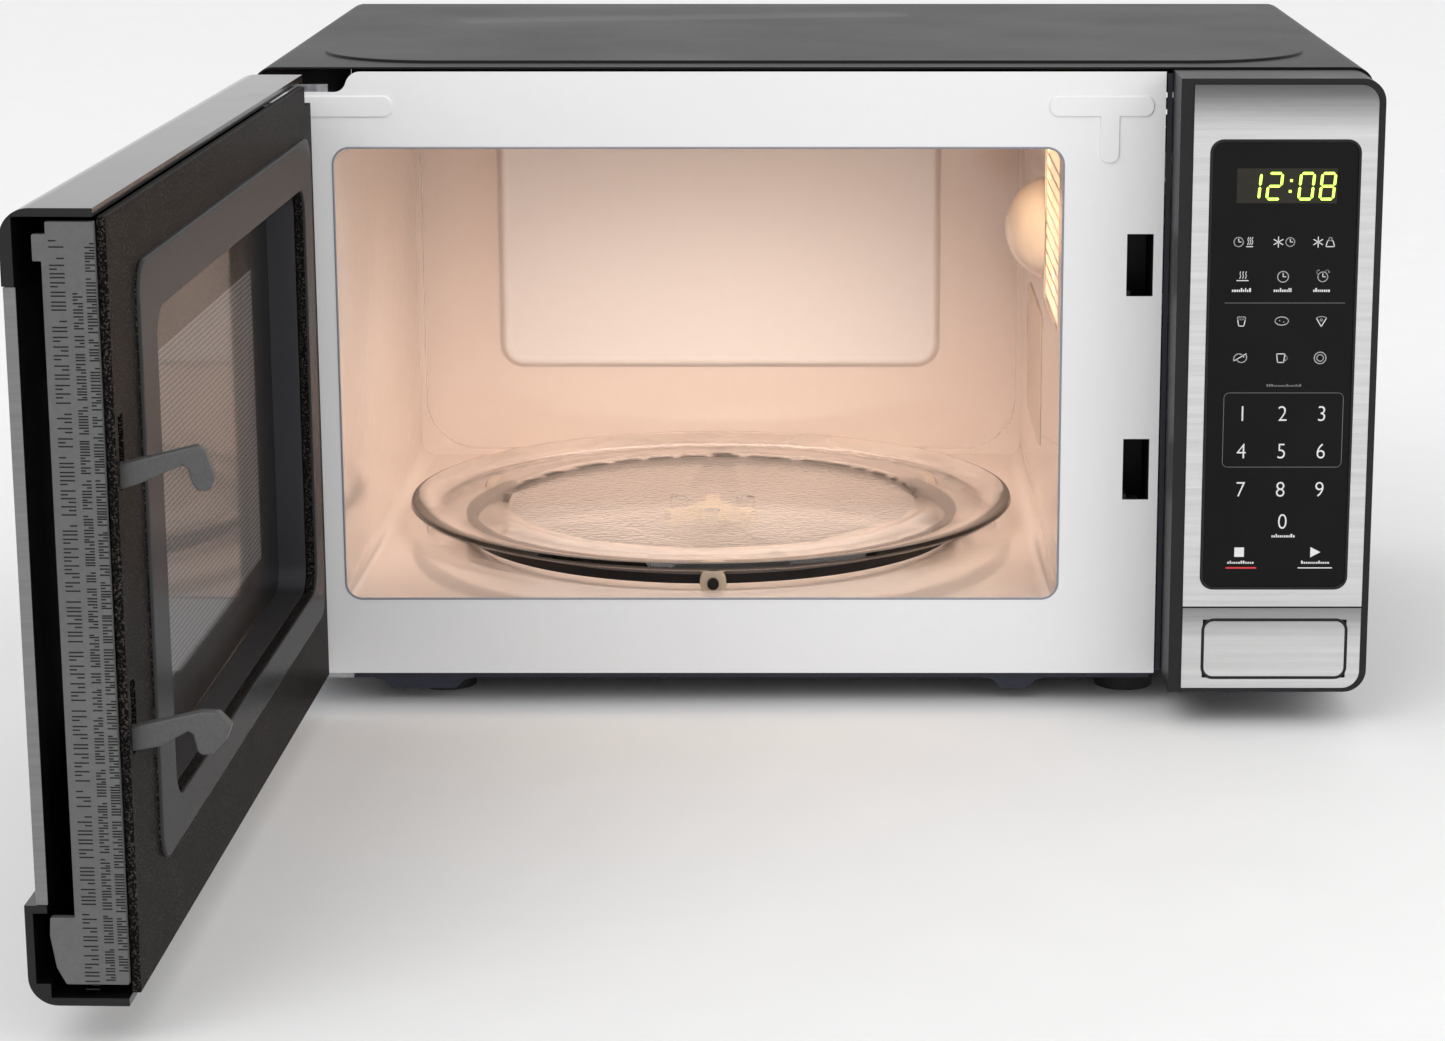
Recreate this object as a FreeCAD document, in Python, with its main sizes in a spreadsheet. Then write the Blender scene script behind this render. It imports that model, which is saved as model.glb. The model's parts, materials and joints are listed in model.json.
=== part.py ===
import FreeCAD, Part
import math
import os
import re
import Sketcher
from FreeCAD import Placement, Rotation, Vector

# Countertop microwave oven, door standing open at its resting angle.
# X runs to the right, Y runs from the front to the back, Z is up.
# X = 0 is the middle of the casing, Y = 0 is half way between the panel face and the
# rear of the casing, and Z = 0 is the surface that the feet stand on.

os.makedirs("parts", exist_ok=True)
doc = FreeCAD.newDocument("microwave_oven")

# ---------------------------------------------------------------- driving dimensions
dims = {
    # casing
    "body_width": 440.0, "front_y": -125.5, "rear_y": 158.5, "face_y": -158.5,
    "casing_low": 13.5, "casing_top": 260.0, "sheet": 0.8, "bend": 8.0, "flange": 8.0,
    "crown_x": 200.0, "crown_front": -110.0, "crown_rear": 136.0, "crown_corner": 50.0,
    "crown_rise": 1.0, "louvre": 2.5, "louvre_pitch": 8.0,
    # base pan and feet
    "pan_z": 14.35, "foot_left": -153.0, "foot_right": 129.0, "foot_front": -92.0,
    "foot_back": 128.0, "foot_radius": 12.0, "foot_height": 6.0, "dimple": 17.0,
    # front plate
    "plate_left": -218.9, "plate_right": 138.5, "plate_top": 258.2, "rib": 0.8,
    "slot_left": 124.3, "slot_right": 134.8, "upper_slot": 169.0, "lower_slot": 86.0,
    "slot_height": 25.0,
    # cooking cavity
    "cav_left": -189.5, "cav_right": 98.5, "cav_low": 45.0, "cav_high": 228.0,
    "cav_back": 150.5, "cav_wall": 0.6, "cav_corner": 6.5, "well_radius": 126.0,
    "well_depth": 5.0, "back_step": 5.0, "back_round": 25.0,
    # turntable
    "tray_x": -45.7, "tray_y": 12.5, "tray_radius": 132.5, "tray_z": 51.2,
    "ring_radius": 106.0, "roller_track": 113.0, "roller_radius": 5.45, "roller_z": 45.6,
    "roller_width": 5.0, "axle": 1.2, "shaft_radius": 3.0,
    # control panel
    "panel_left": 141.2, "panel_low": 14.7, "panel_top": 259.0, "panel_corner": 9.0,
    "wall": 2.2, "skin": 0.8, "face_left": 146.3, "face_right": 217.2, "face_top": 256.7,
    "split_z": 49.8, "keys_left": 153.7, "keys_right": 210.0, "keys_low": 58.1,
    "keys_high": 234.7, "keys_corner": 4.0, "display_left": 163.3, "display_right": 202.2,
    "display_low": 210.9, "display_high": 224.6, "button_left": 155.0,
    "button_right": 211.0, "button_low": 21.3, "button_high": 44.2, "gap": 0.4,
    # release mechanism
    "lever_y": -117.0, "lever_z": 62.0, "lever_radius": 4.0, "stem_x": 183.0,
    # microwave generator
    "tube_y": 47.0, "tube_z": 165.0, "fan_x": 162.0, "fan_z": 178.0, "fan_radius": 45.0,
    # door, measured from its hinge axis with the door shut
    "hinge_x": -214.7, "hinge_y": -148.9, "door_open": 91.4, "pin_radius": 2.5,
    "fit": 0.05, "door_start": -5.3, "door_end": 354.7, "door_front": -9.6,
    "door_inner": 19.6, "door_low": 15.0, "door_high": 259.0, "door_wall": 2.5,
    "band_low": 47.0, "band_high": 236.0, "lip_low": 4.4, "lip_high": 1.2,
    "pane_start": 23.5, "pane_end": 294.0, "pane_low": 61.0, "pane_high": 219.0,
    "seal_start": 6.5, "seal_end": 317.0, "seal_low": 47.0, "seal_high": 237.0,
    "seal_rise": 1.4, "latch_x": 343.9, "latch_width": 4.4,
}

sheet = doc.addObject("Spreadsheet::Sheet", "dims")
for row, (alias, value) in enumerate(dims.items(), start=1):
    sheet.set(f"A{row}", alias)
    sheet.set(f"B{row}", str(value))
    sheet.setAlias(f"B{row}", alias)
doc.recompute()

WORD = re.compile(r"[a-z][a-z0-9_]*")
PLANES = {"XY": ("XY_Plane", 1, "Z"), "XZ": ("XZ_Plane", -1, "Y"), "YZ": ("YZ_Plane", 1, "X")}
nodes = []


# ---------------------------------------------------------------- drawing helpers
def bind(target, path, text):
    """Tie a property to an expression written with the plain names of the sheet."""
    named = WORD.sub(lambda m: "dims." + m.group(0) if m.group(0) in dims else m.group(0),
                     str(text))
    target.setExpression(path, named)


def new_body(label):
    return doc.addObject("PartDesign::Body", label)


def sketch_on(body, plane, level):
    """Empty sketch parallel to one of the body's own origin planes."""
    role, sign, _ = PLANES[plane]
    sketch = body.newObject("Sketcher::SketchObject", "outline")
    base = [f for f in body.Origin.OriginFeatures if f.Role == role][0]
    sketch.AttachmentSupport = (base, [""])
    sketch.MapMode = "FlatFace"
    bind(sketch, ".AttachmentOffset.Base.z", f"{sign} * ({level})")
    return sketch


def outline(body, plane, points, level):
    """Closed outline through points, each held by its two distances from the origin."""
    sketch = sketch_on(body, plane, level)
    count = len(points)
    turn = 2 * math.pi / count
    start = [Vector(10 * math.cos(i * turn), 10 * math.sin(i * turn), 0) for i in range(count)]
    for i in range(count):
        sketch.addGeometry(Part.LineSegment(start[i], start[(i + 1) % count]), False)
    for i in range(count):
        sketch.addConstraint(Sketcher.Constraint("Coincident", i, 2, (i + 1) % count, 1))
    for i, (across, up) in enumerate(points):
        for kind, name, at, text in (("DistanceX", f"across{i}", start[i].x, across),
                                     ("DistanceY", f"up{i}", start[i].y, up)):
            index = sketch.addConstraint(Sketcher.Constraint(kind, -1, 1, i, 1, at))
            sketch.renameConstraint(index, name)
            bind(sketch, f"Constraints.{name}", text)
    return sketch


def rectangle(body, plane, across, up, level):
    corners = [(across[0], up[0]), (across[1], up[0]), (across[1], up[1]), (across[0], up[1])]
    return outline(body, plane, corners, level)


def disc(body, plane, centre, radius, level):
    sketch = sketch_on(body, plane, level)
    sketch.addGeometry(Part.Circle(Vector(0, 0, 0), Vector(0, 0, 1), 10), False)
    for kind, name, text in (("DistanceX", "across", centre[0]), ("DistanceY", "up", centre[1])):
        index = sketch.addConstraint(Sketcher.Constraint(kind, -1, 1, 0, 3, 0))
        sketch.renameConstraint(index, name)
        bind(sketch, f"Constraints.{name}", text)
    index = sketch.addConstraint(Sketcher.Constraint("Radius", 0, 10))
    sketch.renameConstraint(index, "radius")
    bind(sketch, "Constraints.radius", radius)
    return sketch


def section(plane, x, y, z):
    """Split a box into the two directions of the sketch plane and the one across it."""
    return {"XY": (x, y, z), "XZ": (x, z, y), "YZ": (y, z, x)}[plane]


def extrude(body, kind, sketch, plane, depth):
    """Pad or pocket that always fills the span from depth[0] to depth[1]."""
    feature = body.newObject(f"PartDesign::{kind}", kind.lower())
    feature.Profile = sketch
    before = body.Shape.Volume if kind == "Pocket" else 0.0
    bind(feature, "Length", f"({depth[1]}) - ({depth[0]})")
    doc.recompute()
    if kind == "Pocket" and before - body.Shape.Volume < 1e-6:
        raise RuntimeError(f"{body.Label}: a pocket removed nothing")
    return feature


def level_for(kind, plane, depth):
    """Side of the span that the sketch lies on, so that the feature fills the span."""
    along = PLANES[plane][1] if kind == "Pad" else -PLANES[plane][1]
    return depth[0] if along > 0 else depth[1]


def pad(body, x, y, z, plane="XZ"):
    across, up, depth = section(plane, x, y, z)
    sketch = rectangle(body, plane, across, up, level_for("Pad", plane, depth))
    return extrude(body, "Pad", sketch, plane, depth)


def pocket(body, x, y, z, plane="XZ"):
    across, up, depth = section(plane, x, y, z)
    sketch = rectangle(body, plane, across, up, level_for("Pocket", plane, depth))
    return extrude(body, "Pocket", sketch, plane, depth)


def pad_outline(body, plane, points, depth):
    sketch = outline(body, plane, points, level_for("Pad", plane, depth))
    return extrude(body, "Pad", sketch, plane, depth)


def pocket_outline(body, plane, points, depth):
    sketch = outline(body, plane, points, level_for("Pocket", plane, depth))
    return extrude(body, "Pocket", sketch, plane, depth)


def pad_disc(body, plane, centre, radius, depth):
    sketch = disc(body, plane, centre, radius, level_for("Pad", plane, depth))
    return extrude(body, "Pad", sketch, plane, depth)


def pocket_disc(body, plane, centre, radius, depth):
    sketch = disc(body, plane, centre, radius, level_for("Pocket", plane, depth))
    return extrude(body, "Pocket", sketch, plane, depth)


def edges_of(shape, axis, inside):
    """Names of the straight edges along one axis whose middle passes a test."""
    found = []
    for number, edge in enumerate(shape.Edges, start=1):
        if edge.Curve.TypeId != "Part::GeomLine":
            continue
        direction = edge.tangentAt(edge.FirstParameter)
        if abs(getattr(direction, axis.lower())) > 0.999 and inside(edge.CenterOfMass):
            found.append(f"Edge{number}")
    return found


def round_edges(body, axis, radius, inside):
    names = edges_of(body.Shape, axis, inside)
    if not names:
        raise RuntimeError(f"{body.Label}: no edge to round")
    fillet = body.newObject("PartDesign::Fillet", "round")
    fillet.Base = (body.Tip if body.Tip != fillet else fillet.BaseFeature, names)
    bind(fillet, "Radius", radius)
    doc.recompute()
    return fillet


def round_rim(body, radius, inside):
    """Round every edge, straight or curved, whose middle passes a test."""
    names = [f"Edge{n}" for n, e in enumerate(body.Shape.Edges, start=1) if inside(e.CenterOfMass)]
    fillet = body.newObject("PartDesign::Fillet", "rim")
    fillet.Base = (fillet.BaseFeature, names)
    bind(fillet, "Radius", radius)
    doc.recompute()
    return fillet


def repeat(body, feature, axis, pitch, count):
    """Row of copies of one feature along a sketch axis."""
    row = body.newObject("PartDesign::LinearPattern", "row")
    row.Originals = [feature]
    row.Direction = (feature.Profile[0], [axis])
    bind(row, "Length", f"({pitch}) * {count - 1}")
    row.Occurrences = count
    body.Tip = row
    doc.recompute()
    return row


def block(x, y, z):
    solid = doc.addObject("Part::Box", "block")
    for side, span, where in (("Length", x, "x"), ("Width", y, "y"), ("Height", z, "z")):
        bind(solid, side, f"({span[1]}) - ({span[0]})")
        bind(solid, f"Placement.Base.{where}", span[0])
    return solid


TURNS = {"X": Rotation(Vector(0, 1, 0), 90), "Y": Rotation(Vector(1, 0, 0), -90), "Z": Rotation()}


def stand(solid, axis, centre, start):
    """Turn a round primitive on to an axis and bind its start point."""
    solid.Placement = Placement(Vector(), TURNS[axis])
    others = [name for name in "xyz" if name != axis.lower()]
    bind(solid, f"Placement.Base.{axis.lower()}", start)
    bind(solid, f"Placement.Base.{others[0]}", centre[0])
    bind(solid, f"Placement.Base.{others[1]}", centre[1])
    return solid


def rod(axis, centre, span, radius):
    solid = doc.addObject("Part::Cylinder", "rod")
    bind(solid, "Radius", radius)
    bind(solid, "Height", f"({span[1]}) - ({span[0]})")
    return stand(solid, axis, centre, span[0])


def cone(centre, span, low_radius, high_radius):
    solid = doc.addObject("Part::Cone", "cone")
    bind(solid, "Radius1", low_radius)
    bind(solid, "Radius2", high_radius)
    bind(solid, "Height", f"({span[1]}) - ({span[0]})")
    return stand(solid, "Z", centre, span[0])


def fuse(shapes):
    joined = doc.addObject("Part::MultiFuse", "joined")
    joined.Shapes = shapes
    return joined


def cut(base, tools):
    result = doc.addObject("Part::Cut", "cut")
    result.Base = base
    result.Tool = tools[0] if len(tools) == 1 else fuse(tools)
    return result


def group(shapes):
    several = doc.addObject("Part::Compound", "several")
    several.Links = shapes
    return several


def keep(solid, label):
    """Name a finished sub-part and list it for export."""
    solid.Label = label
    nodes.append(solid)
    return solid


def on_door(solid, label):
    """Hang a sub-part, drawn from the hinge axis with the door shut, on the open door."""
    solid.Placement = Placement(Vector(), Rotation(Vector(0, 0, -1), 1))
    bind(solid, "Placement.Base.x", "hinge_x")
    bind(solid, "Placement.Base.y", "hinge_y")
    bind(solid, "Placement.Rotation.Angle", "door_open")
    return keep(solid, label)


def spring(axis, centre, span, radius, wire, turns):
    """Stack of wire rings, each joined to the next by a short link on alternate sides."""
    pitch = f"(({span[1]}) - ({span[0]}) - {wire}) / {turns}"
    levels = [f"{span[0]} + {wire} / 2 + {i} * {pitch}" for i in range(turns + 1)]
    parts = []
    for level in levels:
        ring = doc.addObject("Part::Torus", "ring")
        bind(ring, "Radius1", radius)
        bind(ring, "Radius2", f"{wire} / 2")
        parts.append(stand(ring, axis, centre, level))
    for i in range(turns):
        side = f"{centre[0]} {'+-'[i % 2]} {radius}"
        parts.append(rod(axis, (side, centre[1]), (levels[i], levels[i + 1]), f"{wire} * 0.35"))
    return fuse(parts)


# ---------------------------------------------------------------- casing
def outer_cover():
    body = new_body("outer_cover")
    side = "body_width / 2"
    top = dims["casing_top"]
    pad(body, (f"-{side}", side), ("front_y", "rear_y"), ("casing_low", "casing_top"))
    pocket(body, (f"sheet - {side}", f"{side} - sheet"), ("front_y - 1", "rear_y + 1"),
           ("casing_low - 1", "casing_top - sheet"))
    round_edges(body, "Y", "bend - sheet", lambda c: top - 1 < c.z < top - 0.1)
    round_edges(body, "Y", "bend", lambda c: c.z > top - 0.1)
    pad(body, ("-crown_x", "crown_x"), ("crown_front", "crown_rear"),
        ("casing_top - sheet / 2", "casing_top + crown_rise"), "XY")
    round_edges(body, "Z", "crown_corner", lambda c: c.z > top)
    round_rim(body, "crown_rise * 0.7", lambda c: c.z > top + dims["crown_rise"] - 0.01)
    hollow = []
    for x in ("-crown_x + sheet", "crown_x - sheet"):
        bevel = f"{x} + crown_corner" if x[0] == "-" else f"{x} - crown_corner"
        ends = [(x, "crown_front + crown_corner"), (bevel, "crown_front + sheet")]
        back = [(bevel, "crown_rear - sheet"), (x, "crown_rear - crown_corner")]
        hollow += back + ends if x[0] == "-" else ends[::-1] + back[::-1]
    pocket_outline(body, "XY", hollow, ("casing_top - sheet * 1.5",
                                        "casing_top + crown_rise - sheet"))
    for sign, near, far in (("-", "body_width / 2 - sheet / 2", "body_width / 2 - flange"),
                            ("", "body_width / 2 - flange", "body_width / 2 - sheet / 2")):
        span = (f"-({near})", f"-({far})") if sign else (near, far)
        pad(body, span, ("front_y + sheet + 0.2", "rear_y"), ("casing_low", "casing_low + sheet"))
    louvre = pocket(body, (f"-{side} - 1", f"{side} + 1"), ("rear_y - 92", "rear_y - 40"),
                    ("casing_low + 50", "casing_low + 50 + louvre"), "YZ")
    repeat(body, louvre, "V_Axis", "louvre_pitch", 14)
    keep(body, "outer_cover")


def feet_places():
    return [(x, y) for x in ("foot_left", "foot_right") for y in ("foot_front", "foot_back")]


def base_plate():
    inside = "body_width / 2 - sheet - 0.3"
    pan = block((f"-({inside})", inside), ("front_y + 1", "rear_y - 2.2"),
                ("pan_z", "pan_z + sheet"))
    shells, hollows = [pan], []
    for place in feet_places():
        shells.append(cone(place, ("foot_height", "pan_z + sheet / 2"), "dimple - 4", "dimple"))
        hollows.append(cone(place, ("foot_height + sheet", "pan_z + sheet * 2"),
                            "dimple - 4 - sheet", "dimple - sheet / 2"))
    shells.append(cone(("86", "foot_front"), ("foot_height", "pan_z + sheet / 2"), 12, 15))
    hollows.append(cone(("86", "foot_front"), ("foot_height + sheet", "pan_z + sheet * 2"),
                        "12 - sheet", "15 - sheet / 2"))
    for i in range(8):
        low = f"112 + {i} * 12"
        hollows.append(block((low, f"{low} + 5"), ("62", "104"), ("pan_z - 1", "pan_z + 2")))
    keep(cut(fuse(shells), hollows), "base_plate")


def feet():
    pads = [rod("Z", place, ("0", "foot_height"), "foot_radius") for place in feet_places()]
    keep(group(pads), "feet")


def rear_panel():
    body = new_body("rear_panel")
    inside = "body_width / 2 - sheet - 0.2"
    depth = ("rear_y - sheet - 0.2", "rear_y - 0.2")
    pad(body, (f"-({inside})", inside), depth, ("pan_z + sheet + 0.1", "casing_top - sheet - 0.2"))
    round_edges(body, "Y", "bend - sheet", lambda c: c.z > dims["casing_top"] - 3)
    through = ("rear_y - 3", "rear_y + 1")
    for left in ("118", "-194"):
        slot = pocket(body, (left, f"{left} + 76"), through, ("128", "130.5"))
        repeat(body, slot, "V_Axis", "louvre_pitch", 13)
    pocket_disc(body, "XZ", ("190", "60"), "7.1", through)
    keep(body, "rear_panel")


def rear_spacers():
    bumps = [block((x, f"{x} + 26"), ("rear_y - 0.15", "rear_y + 8"), ("196", "226"))
             for x in ("-88", "62")]
    keep(group(bumps), "rear_spacers")


def front_plate():
    body = new_body("front_plate")
    depth = ("front_y", "front_y + sheet")
    proud = ("front_y - rib", "front_y + sheet / 2")
    clear = ("front_y - 1", "front_y + sheet + 0.2")
    pad(body, ("plate_left", "plate_right"), depth, ("casing_low", "plate_top"))
    pocket(body, ("plate_left - 1", "-184"), clear, ("250.2", "plate_top + 1"))
    round_edges(body, "Y", "6", lambda c: abs(c.x + 184) < 0.1 and c.z > 257)
    round_edges(body, "Y", "5", lambda c: abs(c.x + 184) < 0.1 and c.z < 251)
    ribs = (((92.8, 134.0), (240.6, 248.8)), ((112.8, 120.6), (222.2, 241.0)),
            ((-214.0, -165.7), (240.4, 248.8)))
    for across, up in ribs:
        pad(body, across, proud, up)
    front = dims["front_y"]
    round_edges(body, "Y", "3.6", lambda c: c.y < front and (
        (c.z > 240 and min(abs(c.x - 92.8), abs(c.x - 134.0), abs(c.x + 165.7)) < 0.1)
        or abs(c.z - 222.2) < 0.1))
    round_rim(body, "rib * 0.7", lambda c: c.y < front - dims["rib"] + 0.01)
    pocket(body, ("cav_left", "cav_right"), clear, ("cav_low", "cav_high"))
    round_edges(body, "Y", "cav_corner", lambda c: min(
        abs(c.x - dims["cav_left"]), abs(c.x - dims["cav_right"])) < 0.1)
    for low in ("upper_slot", "lower_slot"):
        pocket(body, ("slot_left", "slot_right"), clear, (low, f"{low} + slot_height"))
    pad(body, ("plate_right - sheet", "plate_right"), ("front_y", "front_y + 3.5"),
        ("casing_low + 2", "plate_top - 2"))
    keep(body, "front_plate")


# ---------------------------------------------------------------- cooking cavity
def cavity_shell():
    body = new_body("cavity_sheet")
    front = "front_y + sheet + 0.05"
    pad(body, ("cav_left - cav_wall", "cav_right + cav_wall"), (front, "cav_back + cav_wall"),
        ("cav_low - cav_wall", "cav_high + cav_wall"))
    pocket(body, ("cav_left", "cav_right"), ("front_y", "cav_back"), ("cav_low", "cav_high"))
    left, right = dims["cav_left"], dims["cav_right"]
    round_edges(body, "Y", "cav_corner", lambda c: left - 0.1 < c.x < right + 0.1)
    round_edges(body, "Y", "cav_corner + cav_wall", lambda c: not left - 0.1 < c.x < right + 0.1)
    centre = ("tray_x", "tray_y")
    pad_disc(body, "XY", centre, "well_radius + cav_wall",
             ("cav_low - well_depth - cav_wall", "cav_low - cav_wall / 2"))
    pocket_disc(body, "XY", centre, "well_radius", ("cav_low - well_depth", "cav_low + 1"))
    pad(body, ("cav_left + 2", "cav_right - 2"), ("cav_back", "cav_back + back_step + cav_wall"),
        ("cav_low + 2", "cav_high - 2"))
    pocket(body, ("cav_left + 2 + cav_wall", "cav_right - 2 - cav_wall"),
           ("cav_back - 1", "cav_back + back_step"),
           ("cav_low + 2 + cav_wall", "cav_high - 2 - cav_wall"))
    back, step = dims["cav_back"] + dims["cav_wall"], dims["back_step"]
    round_edges(body, "Y", "back_round - cav_wall",
                lambda c: abs(c.y - dims["cav_back"] - step / 2) < 0.1)
    round_edges(body, "Y", "back_round", lambda c: abs(c.y - back - step / 2) < 0.1)
    pocket_disc(body, "XY", centre, "7", ("cav_low - well_depth - 2", "cav_low"))
    wall = ("cav_right - 1", "cav_right + 1")
    pocket(body, wall, ("12", "82"), ("95", "131"), "YZ")
    pocket(body, wall, ("-104", "-12"), ("150", "222"), "YZ")
    keep(group([body, wall_dome()]), "cavity_shell")


def lamp_grille():
    body = new_body("lamp_grille")
    plate = ("cav_right + cav_wall + 0.05", "cav_right + cav_wall + 0.65")
    pad(body, plate, ("-108", "-8"), ("147", "225"), "YZ")
    hole = pocket(body, ("cav_right", "cav_right + 3"), ("-102", "-99.5"), ("152", "220"), "YZ")
    repeat(body, hole, "H_Axis", "4", 22)
    for low in range(158, 218, 6):
        pad(body, plate, ("-103", "-14"), (low, low + 1.4), "YZ")
    keep(body, "lamp_grille")


def wall_dome():
    ball = doc.addObject("Part::Sphere", "ball")
    hollow = doc.addObject("Part::Sphere", "hollow")
    for sphere, radius in ((ball, "23.1"), (hollow, "23.1 - cav_wall")):
        bind(sphere, "Radius", radius)
        bind(sphere, "Placement.Base.x", "cav_right + 7.1")
        bind(sphere, "Placement.Base.y", "6")
        bind(sphere, "Placement.Base.z", "177")
    behind = block(("cav_right - 0.05", "cav_right + 40"), ("-30", "40"), ("140", "210"))
    return cut(ball, [hollow, behind])


def waveguide():
    body = new_body("waveguide")
    near = "cav_right + cav_wall + 0.1"
    pad(body, (near, "121"), ("4", "90"), ("89", "203"), "YZ")
    pocket(body, (near + " - 1", "120.2"), ("4.8", "89.2"), ("89.8", "202.2"), "YZ")
    pocket_disc(body, "YZ", ("tube_y", "tube_z"), "12", ("119", "122"))
    keep(body, "waveguide")


def mica_cover():
    body = new_body("waveguide_cover")
    points = [("-4", "82"), ("93", "82"), ("93", "128"), ("84", "140"), ("-4", "140")]
    pad_outline(body, "YZ", points, ("cav_right - 0.6", "cav_right - 0.1"))
    keep(body, "waveguide_cover")


def lamp():
    bulb = fuse([rod("Z", ("110", "-60"), ("176", "196"), "6"),
                 rod("Z", ("110", "-60"), ("170", "176"), "4")])
    socket = rod("Z", ("110", "-60"), ("156", "174"), "8")
    holder = cut(fuse([socket, block(("118", "119.5"), ("-74", "-46"), ("156", "200")),
                       block(("110", "119"), ("-64", "-56"), ("156", "160"))]),
                 [rod("Z", ("110", "-60"), ("169.9", "176"), "4.1")])
    keep(group([bulb, holder]), "cavity_lamp")


# ---------------------------------------------------------------- turntable drive
def turntable():
    centre = ("tray_x", "tray_y")
    motor = fuse([rod("Z", centre, ("20", "39.2"), "24"),
                  block(("tray_x - 36", "tray_x + 36"), ("tray_y - 6", "tray_y + 6"),
                        ("37.8", "39.2"))])
    keep(cut(motor, [rod("Z", centre, ("33", "40"), "shaft_radius + fit")]), "turntable_motor")
    coupler = [rod("Z", centre, ("34", "43"), "shaft_radius"), rod("Z", centre, ("42", "49.6"), "8.5")]
    lugs = []
    for i in range(3):
        arm = doc.addObject("Part::Box", "arm")
        bind(arm, "Length", "22")
        bind(arm, "Width", "6")
        bind(arm, "Height", "5.4")
        turn = Rotation(Vector(0, 0, 1), 90 + 120 * i)
        offset = turn.multVec(Vector(0, -3, 0))
        arm.Placement = Placement(offset, turn)
        bind(arm, "Placement.Base.x", f"tray_x + {offset.x:.6f}")
        bind(arm, "Placement.Base.y", f"tray_y + {offset.y:.6f}")
        bind(arm, "Placement.Base.z", "44.2")
        coupler.append(arm)
        angle = math.radians(150 + 120 * i)
        place = (f"tray_x + 17 * {math.cos(angle):.6f}", f"tray_y + 17 * {math.sin(angle):.6f}")
        lugs.append(rod("Z", place, ("46", "tray_z + 1"), "4"))
    keep(fuse(coupler), "drive_coupler")
    glass_tray(lugs)
    roller_ring()


def glass_tray(lugs):
    body = new_body("tray_disc")
    profile = [("0", "tray_z"), ("tray_radius - 14", "tray_z"), ("tray_radius - 6", "tray_z + 2"),
               ("tray_radius - 1", "tray_z + 3.8"), ("tray_radius", "tray_z + 5.2"),
               ("tray_radius - 0.6", "tray_z + 6.6"), ("tray_radius - 3", "tray_z + 6.8"),
               ("tray_radius - 10", "tray_z + 4.9"), ("tray_radius - 20", "tray_z + 3.7"),
               ("94", "tray_z + 3.6"), ("90", "tray_z + 3"), ("0", "tray_z + 3")]
    sketch = outline(body, "XZ", profile, "0")
    spin = body.newObject("PartDesign::Revolution", "spin")
    spin.Profile = sketch
    spin.ReferenceAxis = (sketch, ["V_Axis"])
    spin.Angle = 360.0
    body.Placement = Placement(Vector(), Rotation())
    bind(body, "Placement.Base.x", "tray_x")
    bind(body, "Placement.Base.y", "tray_y")
    doc.recompute()
    keep(fuse([body] + lugs), "glass_tray")


def turned(solid, angle):
    """Swing a primitive, drawn along +X from the tray's centre, round that centre."""
    spun = doc.addObject("Part::Compound", "spun")
    spun.Links = [solid]
    spun.Placement = Placement(Vector(), Rotation(Vector(0, 0, 1), angle))
    bind(spun, "Placement.Base.x", "tray_x")
    bind(spun, "Placement.Base.y", "tray_y")
    return spun


ROLLER_ANGLES = (272.0, 32.0, 152.0)


def roller_ring():
    centre = ("tray_x", "tray_y")
    band = cut(rod("Z", centre, ("roller_z - 2", "roller_z + 2"), "ring_radius + 2.5"),
               [rod("Z", centre, ("roller_z - 3", "roller_z + 3"), "ring_radius - 2.5")])
    pieces = [band]
    for number, angle in enumerate(ROLLER_ANGLES, start=1):
        pieces.append(turned(rod("X", ("0", "roller_z"), ("ring_radius", "roller_track + 5"),
                                 "axle"), angle))
        pieces.append(turned(rod("X", ("0", "roller_z"), ("roller_track + 3.2",
                                 "roller_track + 5"), "axle * 2"), angle))
        wheel = cut(rod("X", ("0", "roller_z"), ("roller_track - roller_width / 2",
                                                 "roller_track + roller_width / 2"),
                        "roller_radius"),
                    [rod("X", ("0", "roller_z"), ("roller_track - 5", "roller_track + 5"),
                         "axle + fit")])
        keep(turned(wheel, angle), f"roller_{number}")
    keep(fuse(pieces), "roller_ring")


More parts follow.
